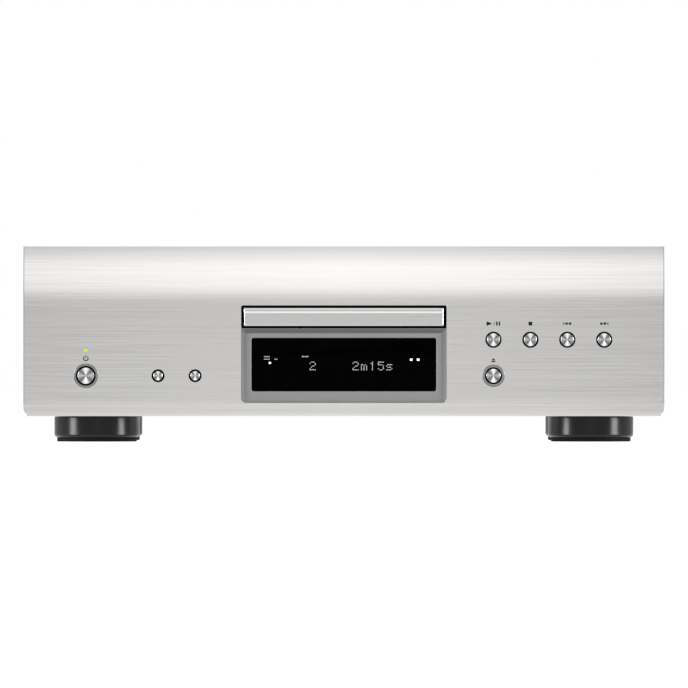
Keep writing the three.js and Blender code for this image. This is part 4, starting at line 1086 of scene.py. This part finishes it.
def phonoJack(bm, x, z, face, tip, ring):
    # gold barrel, insulator in the middle and a coloured ring at its foot
    centre = Vector((x, 0, z))
    barrel, collar, hole = jackPlan["barrel"], jackPlan["collar"], jackPlan["hole"]
    profile = [(barrel, face + 0.2), (barrel, face + 1.3), (barrel, tip - 1.2), (barrel - 0.12, tip - 1.0)]
    profile += [(barrel, tip - 0.8), (barrel - 0.05, tip - 0.25), (barrel - 0.35, tip)]
    profile += [(barrel - 0.75, tip - 0.05), (barrel - 0.8, tip - 0.4), (barrel - 0.8, face + 0.2)]
    turnedSolid(bm, profile + profile[:1], "y", centre, steps=48, finish=1)
    inside = [(hole, face + 1), (hole, tip - 0.9), (hole + 0.15, tip - 0.75), (barrel - 0.95, tip - 0.75)]
    inside += [(barrel - 0.78, tip - 0.9), (barrel - 0.78, face + 1)]
    turnedSolid(bm, inside + inside[:1], "y", centre, steps=48, finish=2)
    pin = [(0, face + 1), (hole - 0.25, face + 1), (hole - 0.25, tip - 2), (hole - 0.5, tip - 1.8)]
    turnedSolid(bm, pin + [(0.5, tip - 2.6), (0, tip - 2.6)], "y", centre, steps=32, finish=1)
    foot = [(barrel + 0.05, face - 0.2), (collar, face - 0.2), (collar, face + 0.9)]
    foot += [(collar - 0.25, face + 1.15), (barrel + 0.05, face + 1.15)]
    turnedSolid(bm, foot + foot[:1], "y", centre, steps=48, finish=ring)


def makePhonoSockets():
    face = span("rear_panel")[1].y
    for node, name in (("analog_outputs", "analogOutputs"), ("coaxial_output", "coaxialOutput")):
        low, high, centre, _ = reachOf(node)
        bm = bmesh.new()
        block(bm, (low.x, low.y, low.z), (high.x, face - 1.6, high.z), edge=0.6)
        places, spread = ((centre.x, 4),), jackPlan["spread"]
        if node == "analog_outputs":
            places = ((centre.x - spread, 2), (centre.x + spread, 3))
        for x, ring in places:
            phonoJack(bm, x, centre.z, face, high.y, ring)
        makePiece(name, bm, ["socket", "gold", "ceramic", "red", "black"], node)


inletPlan = {
    "cavityWide": 24,
    "cavityTall": 16.6,
    "depth": 15,
    "corner": 4.2,
    "pins": ((-7, -1.2), (7, -1.2), (0, 3)),
}


def makeInlet():
    low, high, centre, _ = reachOf("mains_inlet")
    face, mouth = span("rear_panel")[1].y, high.y
    wide, tall, corner = inletPlan["cavityWide"] / 2, inletPlan["cavityTall"] / 2, inletPlan["corner"]
    back = mouth - inletPlan["depth"]

    def octagon(y, grow, corner):
        x0, x1 = centre.x - wide - grow, centre.x + wide + grow
        z0, z1 = centre.z - tall - grow, centre.z + tall + grow
        points = ((x0 + corner, z0), (x1 - corner, z0), (x1, z0 + corner), (x1, z1 - 0.6))
        points += ((x1 - 0.6, z1), (x0 + 0.6, z1), (x0, z1 - 0.6), (x0, z0 + corner))
        return [Vector((x, y, z)) for x, z in points]

    def pinBlock(x, z, half, back, front, tall, edge):
        x, z = centre.x + x, centre.z + z
        block(bm, (x - half, back, z - tall), (x + half, front, z + tall), edge=edge, finish=1)

    bm = bmesh.new()
    rings = [octagon(back, 0, corner), octagon(mouth - 0.3, 0, corner), octagon(mouth - 0.05, 0.2, corner)]
    rings += [octagon(mouth, 0.4, corner), octagon(mouth, 1.6, corner * 0.9)]
    rings += [octagon(mouth - 0.25, 1.9, corner * 0.9), octagon(face + 1.1, 2.0, corner * 0.9)]
    rings += [octagon(face + 0.3, 2.0, corner), octagon(low.y + 8, 1.5, corner)]
    loft(bm, rings + [octagon(low.y + 6.5, 1.4, corner)])
    flange = bmesh.new()
    block(flange, (low.x, face + 0.3, low.z), (high.x, face + 1.2, high.z), edge=0.3)
    bm = carve(bm, flange, "UNION")
    for x, z in inletPlan["pins"]:
        pinBlock(x, z, 1, back - 0.5, mouth - 3.5, 2, 0.35)
        pinBlock(x, z, 0.4, low.y, low.y + 7, 2.2, 0.2)
    makePiece("mainsInlet", bm, ["socket", "tin"], "mains_inlet", smooth=30)


def makeOptical():
    low, high, centre, half = reachOf("optical_output")
    mouth, back, tall = high.y, low.y, (high.z - low.z) / 2
    bm = bmesh.new()

    def ring(y, grow, radius):
        left, right = centre.x - half + grow, centre.x + half - grow
        return ringOfFrame(left, right, centre.z - tall + grow, centre.z + tall - grow, y, radius, steps=3)

    rings = [ring(back, 0.3, 0.4), ring(back + 0.3, 0, 0.6), ring(mouth - 0.3, 0, 0.6), ring(mouth, 0.3, 0.5)]
    loft(bm, rings + [ring(mouth, 0.8, 0.4), ring(mouth - 0.2, 1.0, 0.3), ring(back + 3, 1.0, 0.3)])
    makePiece("opticalOutput", bm, ["socket"], "optical_output", smooth=30)
    low, high = span("optical_shutter")
    bm = bmesh.new()
    rod = high.z - 0.5
    block(bm, (low.x, low.y, low.z), (high.x, low.y + 0.8, rod), edge=0.2)
    block(bm, (low.x + 1.2, low.y + 0.7, low.z + 1), (high.x - 1.2, low.y + 0.81, rod - 1.2), edge=0.05)
    profile = [(0, low.x), (0.42, low.x), (0.5, low.x + 0.1), (0.5, high.x - 0.1), (0.42, high.x), (0, high.x)]
    turnedSolid(bm, profile, "x", Vector((0, low.y + 0.4, rod)), steps=20)
    makePiece("opticalShutter", bm, ["chip"], "optical_shutter")


def makeRemoteJacks():
    low, high, centre, _ = reachOf("remote_jacks")
    face = span("rear_panel")[1].y
    bm = bmesh.new()
    block(bm, (low.x, low.y, low.z), (high.x, face - 1.6, high.z), edge=0.5)
    nut = [(1.8, face - 6), (1.8, high.y - 0.15), (2.0, high.y), (3.4, high.y), (3.6, high.y - 0.2)]
    nut += [(3.6, face - 1.7), (1.8, face - 1.7)]
    for side in (-1, 1):
        place = Vector((centre.x + side * jackPlan["remoteSpread"], 0, centre.z))
        turnedSolid(bm, nut + nut[:1], "y", place, steps=40, finish=1)
    makePiece("remoteJacks", bm, ["socket", "tin"], "remote_jacks")


makePhonoSockets()
makeInlet()
makeOptical()
makeRemoteJacks()
print("rear sockets made")

# ---- disc tray and loader ----

trayPlan = {
    "well": 61,
    "small": 41,
    "rimRound": 0.6,
    "slotHalf": 22,
    "slotFront": 16,
    "slotBack": 84,
    "slotRound": 15,
    "slotBackRound": 6,
    "toothPitch": 3.14,
    "pads": ((-58, 76), (58, 76), (-58, -58), (58, -58)),
}


def trayCutters(top, plateLow):
    # the well for a large disc, the well for a small one and the slot for the pickup
    disc = middle("turntable")
    centre = Vector((disc.x, disc.y, 0))
    well, small, soft, slotHalf = (trayPlan[key] for key in ("well", "small", "rimRound", "slotHalf"))
    deep, deeper = top - 5, top - 6
    wells = bmesh.new()
    profile = [(0, deep), (well - 0.6, deep), (well - 0.2, deep + 0.15), (well, deep + 0.6), (well, top - soft)]
    profile += [(well + soft * 0.3, top - soft * 0.3), (well + soft, top + 0.01), (well + soft, top + 2)]
    turnedSolid(wells, profile + [(0, top + 2)], "z", centre, steps=144)
    yield wells
    inner = bmesh.new()
    profile = [(0, deeper), (small - 0.5, deeper), (small, deeper + 0.4), (small + 0.4, deep + 0.01)]
    turnedSolid(inner, profile + [(small + 0.4, deep + 1), (0, deep + 1)], "z", centre, steps=144)
    yield inner
    slot = bmesh.new()
    front, back = disc.y - trayPlan["slotFront"], disc.y + trayPlan["slotBack"]
    radii = trayPlan["slotRound"], trayPlan["slotBackRound"]
    ring = ringOfFrame(-slotHalf, slotHalf, front, back, 0, *radii, steps=12)
    loft(slot, [laidFlat(ring, z) for z in (plateLow - 1, top + 1)])
    yield slot


def makeTray():
    low, high = span("disc_tray")
    top, half, plateLow, rack = high.z, high.x, high.z - 8, low.z
    slab = bmesh.new()
    rings = []
    for z, inset in ((plateLow, 0.4), (plateLow + 0.4, 0), (top - 0.5, 0), (top - 0.15, 0.15), (top, 0.5)):
        edge = ringOfFrame(-half + inset, half - inset, low.y + inset, high.y - inset, 0, 4 - inset, steps=6)
        rings.append(laidFlat(edge, z))
    loft(slab, rings)
    for cutter in trayCutters(top, plateLow):
        slab = carve(slab, cutter)
    rackX = -(half - 7.8)
    block(slab, (rackX, low.y + 3, rack), (rackX + 3 - 1.1, high.y - 3, plateLow + 0.2), edge=0.3)
    teeth = int((high.y - low.y - 10) / trayPlan["toothPitch"])
    for i in range(teeth):
        y = low.y + 5 + i * trayPlan["toothPitch"]
        rings = []
        for x, start, end in ((1.8, 0, 1.9), (2.5, 0, 1.9), (3, 0.5, 1.4)):
            corners = ((start, rack + 0.1), (end, rack + 0.1), (end, plateLow + 0.1), (start, plateLow + 0.1))
            rings.append([Vector((rackX + x, y + along, z)) for along, z in corners])
        loft(slab, rings)
    padProfile = [(0, top - 0.2), (1.6, top - 0.2), (1.6, top - 0.05), (1.3, top - 0.01), (0, top - 0.01)]
    for x, y in trayPlan["pads"]:
        turnedSolid(slab, padProfile, "z", Vector((x, middle("turntable").y + y, 0)), steps=24, finish=1)
    makePiece("discTray", slab, ["tray", "belt"], "disc_tray", smooth=32)


def gearSolid(bm, centre, tip, z0, z1, teeth, bore, toothDepth=1.4):
    # spur gear with straight flanks and narrowed tips
    root = tip - toothDepth
    flank = (root + tip) / 2 + 0.1
    outline = ((-0.32, root), (-0.2, flank), (-0.11, tip), (0.11, tip), (0.2, flank), (0.32, root))
    ring = []
    for i in range(teeth):
        for share, radius in outline:
            turn = 2 * math.pi * (i + share) / teeth
            ring.append((radius * math.cos(turn), radius * math.sin(turn)))
    turns = [2 * math.pi * (k - 1.9) / len(ring) for k in range(len(ring))]
    hole = [(bore * math.cos(turn), bore * math.sin(turn)) for turn in turns]

    def at(points, z):
        return [Vector((centre.x + x, centre.y + y, z)) for x, y in points]

    loft(bm, [at(hole, z0), at(ring, z0), at(ring, z1), at(hole, z1)], around=True)


trainPlan = {
    "bore": 1.75,
    "toothDepth": 1.1,
    "wheelTeeth": 38,
    "wheelRise": 3,
    "pinionRadius": 9,        # drives the rack under the tray
    "pinionTeeth": 18,
    "pulleyRise": 3.1,        # above the middle of the belt
    "smallRadius": 4,
    "smallTeeth": 12,
    "motorBore": 1.25,
}


def makeTrain():
    # tray gear: pinion for the rack above, wheel below
    bore, depth, wheelRise = (trainPlan[key] for key in ("bore", "toothDepth", "wheelRise"))
    motorBore, belt = trainPlan["motorBore"], middle("drive_belt").z
    low, high, centre, wheel = reachOf("tray_gear")
    bm = bmesh.new()
    wheelTop = low.z + wheelRise
    gearSolid(bm, centre, wheel, low.z, wheelTop, trainPlan["wheelTeeth"], bore, toothDepth=depth)
    gearSolid(bm, centre, trainPlan["pinionRadius"], wheelTop - 0.01, high.z, trainPlan["pinionTeeth"], bore)
    makePiece("trayGear", bm, ["white"], "tray_gear", smooth=25)
    low, high, centre, rim = reachOf("pulley_gear")
    bm = bmesh.new()
    pulleyTop = belt + trainPlan["pulleyRise"]
    groove = [(bore, low.z), (rim, low.z), (rim, low.z + 0.7), (rim - 1.2, belt - 1.5), (rim - 1.4, belt)]
    groove += [(rim - 1.2, belt + 1.5), (rim, pulleyTop - 0.7), (rim, pulleyTop), (bore + 2, pulleyTop)]
    groove += [(bore, pulleyTop), (bore, low.z)]
    turnedSolid(bm, groove, "z", Vector((centre.x, centre.y, 0)), steps=72)
    small, teeth = trainPlan["smallRadius"], trainPlan["smallTeeth"]
    gearSolid(bm, centre, small, pulleyTop - 0.01, high.z, teeth, bore, toothDepth=depth)
    makePiece("pulleyGear", bm, ["white"], "pulley_gear", smooth=25)
    low, high, centre, rim = reachOf("motor_pulley")
    bm = bmesh.new()
    profile = [(motorBore, low.z), (rim, low.z), (rim, low.z + 0.6), (rim - 0.9, belt - 1), (rim - 1, belt)]
    profile += [(rim - 0.9, belt + 1), (rim, high.z - 0.6), (rim, high.z), (motorBore, high.z)]
    turnedSolid(bm, profile + profile[:1], "z", Vector((centre.x, centre.y, 0)), steps=48)
    makePiece("motorPulley", bm, ["white"], "motor_pulley", smooth=25)


def makeTurned(node, name, profile, axis, coat, steps=64):
    place = middle(node)
    setattr(place, axis, 0)
    bm = bmesh.new()
    turnedSolid(bm, profile, axis, place, steps=steps)
    makePiece(name, bm, [coat], node, smooth=30)


turntablePlan = {"cone": 7.4, "coneRise": 2.5, "bore": 1.3}


def makeTurntable():
    low, high, _, radius = reachOf("turntable")
    cone, bore = turntablePlan["cone"], turntablePlan["bore"]
    top, under = high.z - turntablePlan["coneRise"], low.z
    profile = [(bore, under), (radius - 0.6, under), (radius, under + 0.5), (radius, top - 0.4)]
    profile += [(radius - 0.3, top), (radius - 1, top), (radius - 1.2, top - 0.2), (cone + 1.6, top - 0.2)]
    profile += [(cone + 1.3, top - 0.4), (cone + 0.1, top - 0.4), (cone, top), (cone - 0.1, top + 1)]
    profile += [(cone - 1.1, high.z - 0.2), (cone - 1.6, high.z), (2.2, high.z), (2, high.z - 0.3)]
    profile += [(bore, high.z - 0.3), (bore, under)]
    makeTurned("turntable", "turntableDish", profile, "z", "black", steps=96)


threadPlan = {"pitch": 1.5, "depth": 0.28, "runOut": 2}


def makeDrive():
    for side in ("left", "right"):
        low, high, _, radius = reachOf(f"guide_rod_{side}")
        profile = [(0, low.y), (radius - 0.3, low.y), (radius, low.y + 0.3)]
        profile += [(radius, high.y - 0.3), (radius - 0.3, high.y), (0, high.y)]
        makeTurned(f"guide_rod_{side}", "guideRod" + side.title(), profile, "y", "tin", steps=40)
    low, high, _, radius = reachOf("sled_screw")
    profile = [(0, low.y), (radius - 0.2, low.y)]
    root, y = radius - threadPlan["depth"], low.y + threadPlan["runOut"]
    while y < high.y - threadPlan["runOut"]:
        profile += [(root, y), (radius, y + 0.35), (radius, y + 0.75), (root, y + 1.1)]
        y += threadPlan["pitch"]
    profile += [(radius - 0.2, high.y), (0, high.y)]
    makeTurned("sled_screw", "sledScrew", profile, "y", "tin", steps=24)
    low, high, _, radius = reachOf("sled_motor")
    profile = [(0, low.y), (1.6, low.y), (1.8, low.y + 0.4), (radius - 0.5, low.y + 0.5), (radius, low.y + 0.9)]
    profile += [(radius, low.y + 3), (radius - 0.15, low.y + 3.1), (radius - 0.15, low.y + 3.4)]
    profile += [(radius, low.y + 3.5), (radius, high.y - 0.4), (radius - 0.4, high.y), (0, high.y)]
    makeTurned("sled_motor", "sledMotor", profile, "y", "tin", steps=48)
    softenEdges(frame["nodes"]["clamper"], 0.25)


def makeLensTop():
    low, high, _, radius = reachOf("objective_lens")
    turns = [math.radians(angle) for angle in range(0, 91, 15)]
    profile = [(radius * 0.72 * math.sin(turn), high.z - 0.5 * (1 - math.cos(turn))) for turn in turns]
    profile += [(radius * 0.76, high.z - 0.55), (radius * 0.8, high.z - 0.1), (radius - 0.15, high.z - 0.1)]
    profile += [(radius, high.z - 0.3), (radius, low.z + 0.1), (radius - 0.1, low.z), (0, low.z)]
    makeTurned("objective_lens", "objectiveLens", profile, "z", "optic")


makeTray()
makeTrain()
makeTurntable()
makeDrive()
makeLensTop()
print("disc mechanism made")

# ---- electronics ----

# each board: its piece, the side its parts are measured from, and the parts as
# kind, distance inwards, distance from the front, size and height
boardPlans = {
    "power_board": {
        "piece": "powerBoard",
        "origin": "left",
        "parts": (
            ("can", 20, 25, 25, 40), ("can", 50, 25, 25, 40), ("can", 80, 25, 18, 30), ("sink", 55, 70, 80, 32),
            ("chip", 85, 105, 30, 18), ("can", 25, 105, 16, 25),
        ),
    },
    "audio_board": {
        "piece": "audioBoard",
        "origin": "right",
        "parts": (
            ("can", 25, 30, 18, 30), ("can", 50, 30, 18, 30), ("can", 75, 30, 18, 30), ("can", 100, 30, 18, 30),
            ("chip", 85, 80, 24, 5), ("chip", 40, 80, 24, 5), ("can", 90, 130, 12, 18), ("can", 60, 130, 12, 18),
            ("can", 30, 130, 12, 18), ("chip", 60, 175, 40, 14),
        ),
    },
    "servo_board": {
        "piece": "servoBoard",
        "origin": "left",
        "parts": (("chip", 45, 55, 28, 3), ("chip", 85, 30, 14, 3), ("can", 15, 90, 10, 12)),
    },
}


boardBuild = {"standoff": 6.7, "thickness": 1.6, "postInset": 5, "postRadius": 3, "nutRadius": 2.8}


def boardCan(bm, x, y, top, half, height):
    place, end = Vector((x, y, 0)), top + height
    sleeve = [(0, top - 0.1), (half - 0.5, top - 0.1), (half, top + 0.6), (half, top + 2.2)]
    sleeve += [(half - 0.4, top + 2.8), (half, top + 3.4), (half, end - 1.2), (half - 0.6, end - 0.4)]
    sleeve += [(half - 1.2, end - 0.35), (half - 1.5, end - 0.6), (0, end - 0.6)]
    for face in turnedSolid(bm, sleeve, "z", place, steps=40, finish=2):
        spot = face.calc_center_median()
        if spot.z > (end - 0.7) * mm and (spot - place * mm).xy.length < (half - 1.3) * mm:
            face.material_index = 3          # the bare metal end


def boardSink(bm, x, y, top, half, height):
    block(bm, (x - half, y - 2, top - 0.1), (x + half, y + 2, top + height), edge=0.3, finish=4)
    fins = int(half * 2 / 4)
    for i in range(fins):
        finX = x - half + 1 + i * (half * 2 - 2) / (fins - 1)
        low, high = (finX - 0.7, y - half / 2, top + 1), (finX + 0.7, y + half / 2, top + height - 0.5)
        block(bm, low, high, edge=0.25, finish=4, steps=1)


def boardChip(bm, x, y, top, half, height):
    block(bm, (x - half, y - half / 2, top + 0.1), (x + half, y + half / 2, top + height), edge=0.3, finish=1)
    for i in range(int(half) - 1 if height < 8 else 0):
        for side in (-1, 1):
            legX, legY = x - half + 2 + i * 2, y + side * (half / 2 + 0.9)
            low, high = (legX - 0.3, legY - 0.9, top - 0.05), (legX + 0.3, legY + 0.9, top + 0.6)
            block(bm, low, high, edge=0.1, finish=3, steps=1)


def makeBoard(node, plan):
    low, high = span(node)
    bm = bmesh.new()
    inset, post, nut = (boardBuild[key] for key in ("postInset", "postRadius", "nutRadius"))
    under = low.z + boardBuild["standoff"]
    top = under + boardBuild["thickness"]
    block(bm, (low.x, low.y, under), (high.x, high.y, top), edge=0.2)
    postShape = [(0, low.z), (post, low.z), (post, under + 0.1), (0, under + 0.1)]
    nutShape = [(0, top - 0.1), (nut, top - 0.1), (2.6, top + 1), (1.6, top + 1.5), (0, top + 1.5)]
    for x in (low.x + inset, high.x - inset):
        for y in (low.y + inset, high.y - inset):
            for shape in (postShape, nutShape):
                turnedSolid(bm, shape, "z", Vector((x, y, 0)), steps=24, finish=3)
    makers = {"can": boardCan, "sink": boardSink, "chip": boardChip}
    for kind, inwards, back, size, height in plan["parts"]:
        x = low.x + inwards if plan["origin"] == "left" else high.x - inwards
        makers[kind](bm, x, low.y + back, top, size / 2, height)
    makePiece(plan["piece"], bm, ["board", "chip", "sleeve", "tin", "dark"], node)


for node, plan in boardPlans.items():
    makeBoard(node, plan)
print("electronics made")

# ---- solids that keep their shape: a finish, and edges softened ----

keptFinishes = {
    "front_frame": ("zinc", 0.2), "rear_panel": ("cover", 0.2),
    "left_switch_board": ("board", 0.2), "right_switch_board": ("board", 0.2),
    "display_module": ("tube", 0.3), "loader_frame": ("black", 0.3),
    "loading_motor": ("tin", 0.4), "drive_belt": ("belt", 0.2),
    "cam_slider": ("white", 0.25), "traverse_frame": ("zinc", 0.3),
    "spindle_motor": ("tin", 0.3), "clamper": ("black", 0),
    "clamper_bridge": ("zinc", 0.2), "optical_pickup": ("tray", 0.3), "power_transformer": ("dark", 1.0),
}
for node, made in frame["nodes"].items():
    if made.hide_render:
        continue
    finish, width = keptFinishes[node]
    made.data.materials.clear()
    made.data.materials.append(finishes[finish])
    if width:
        softenEdges(made, width)
print("kept solids finished")

# ---- studio ----

studioPlan = {
    "distance": 16.0,       # camera to the panel's face
    "height": 0.07,
    "aim": 0.0662,          # height that sits in the middle of the picture
    "lens": 1236.6,
    "sideLight": {"out": 1.9, "front": -0.85, "height": 0.6, "aim": -0.16, "size": (0.58, 1.3), "power": 60},
    "floorHalf": 14.0,
    # painted light: the floor glows brighter in a band as deep as the object, filling in its shadow
    "floorFade": (("From Min", 0.164), ("From Max", 0.182), ("To Min", 1.05), ("To Max", 0.84)),
    # sine of the height above the horizon, and how bright the room is there
    "room": (
        (0.0, 0.12), (0.015, 0.2), (0.05, 1.2), (0.12, 1.6), (0.54, 1.68), (0.74, 1.36), (0.86, 1.16), (1.0, 1.1),
    ),
    # a little brighter straight in front than to the sides
    "aside": ((0.0, 1.12), (0.03, 0.94), (0.06, 0.86), (0.3, 0.5), (0.7, 0.45), (1.0, 0.62)),
}


def makeCamera():
    data = bpy.data.cameras.new("camera")
    data.lens = studioPlan["lens"]
    data.sensor_width = 36
    data.clip_end = 60
    camera = bpy.data.objects.new("camera", data)
    camera.location = (0.0001, panelFace * mm - studioPlan["distance"], studioPlan["height"])
    tilt = math.atan((studioPlan["height"] - studioPlan["aim"]) / studioPlan["distance"])
    camera.rotation_euler = (math.radians(90) - tilt, 0, 0)
    scene.collection.objects.link(camera)
    scene.camera = camera


def makeFloor():
    bm = bmesh.new()
    half = studioPlan["floorHalf"] / mm
    rings = [ringOfCircle(half * share, 0, "z", steps=96) for share in (1, 0.6, 0.3, 0.1, 0.03)]
    loft(bm, rings)
    for face in [f for f in bm.faces if len(f.verts) > 4][:1]:
        bm.faces.remove(face)
    floor = looseObject(bm, "studioFloor")
    finish = Finish("paleFloor")
    # painted light: a brighter glow across the floor under the object, filling in its shadow
    paintedLightBand = finish.nodes.new("ShaderNodeMapRange")
    for socket, value in studioPlan["floorFade"]:
        paintedLightBand.inputs[socket].default_value = value
    finish.shader.inputs["Emission Color"].default_value = (1, 1, 1, 1)
    finish.links.new(finish.combine(finish.parts()["Y"], 0, "ABSOLUTE"), paintedLightBand.inputs["Value"])
    finish.links.new(paintedLightBand.outputs["Result"], finish.shader.inputs["Emission Strength"])
    paper = finish.grain((40, 40, 40), detail=4.0)
    finish.colour(paper, ((0.3, grey(0.12)), (0.7, grey(0.13))))
    finish.shine(paper, 0.85, 0.95)
    floor.data.materials.append(finish.made)


def makeSoftbox(name, place, target, wide, tall, power):
    data = bpy.data.lights.new(name, "AREA")
    data.shape = "RECTANGLE"
    data.size, data.size_y = wide, tall
    data.energy = power
    lamp = bpy.data.objects.new(name, data)
    lamp.location = place
    lamp.rotation_euler = (Vector(target) - Vector(place)).to_track_quat("-Z", "Y").to_euler()
    scene.collection.objects.link(lamp)


def fillRamp(ramp, stops):
    while len(ramp.color_ramp.elements) < len(stops):
        ramp.color_ramp.elements.new(0.5)
    for element, (place, value) in zip(ramp.color_ramp.elements, stops):
        element.position = place
        element.color = (value, value, value, 1)


def makeWorld():
    world = bpy.data.worlds.new("studio")
    world.use_nodes = True
    scene.world = world
    nodes, links = world.node_tree.nodes, world.node_tree.links
    room = nodes["Background"]
    place = nodes.new("ShaderNodeTexCoord")
    parts = nodes.new("ShaderNodeSeparateXYZ")
    ramp = nodes.new("ShaderNodeValToRGB")
    fillRamp(ramp, studioPlan["room"])
    links.new(place.outputs["Generated"], parts.inputs[0])
    links.new(parts.outputs["Z"], ramp.inputs["Fac"])
    aside = nodes.new("ShaderNodeMath")
    aside.operation = "ABSOLUTE"
    falloff = nodes.new("ShaderNodeValToRGB")
    fillRamp(falloff, studioPlan["aside"])
    links.new(parts.outputs["X"], aside.inputs[0])
    links.new(aside.outputs[0], falloff.inputs["Fac"])
    links.new(falloff.outputs["Color"], room.inputs["Strength"])
    links.new(ramp.outputs["Color"], room.inputs["Color"])
    white = nodes.new("ShaderNodeBackground")
    white.inputs["Color"].default_value = (1, 1, 1, 1)
    path = nodes.new("ShaderNodeLightPath")
    choose = nodes.new("ShaderNodeMixShader")
    links.new(path.outputs["Is Camera Ray"], choose.inputs["Fac"])
    links.new(room.outputs["Background"], choose.inputs[1])
    links.new(white.outputs["Background"], choose.inputs[2])
    links.new(choose.outputs["Shader"], nodes["World Output"].inputs["Surface"])


makeCamera()
makeFloor()
makeWorld()
for side in (-1, 1):
    lamp = studioPlan["sideLight"]
    place, target = (side * lamp["out"], lamp["front"], lamp["height"]), (0, lamp["aim"], lamp["height"])
    makeSoftbox(f"sideLight{side}", place, target, *lamp["size"], lamp["power"])
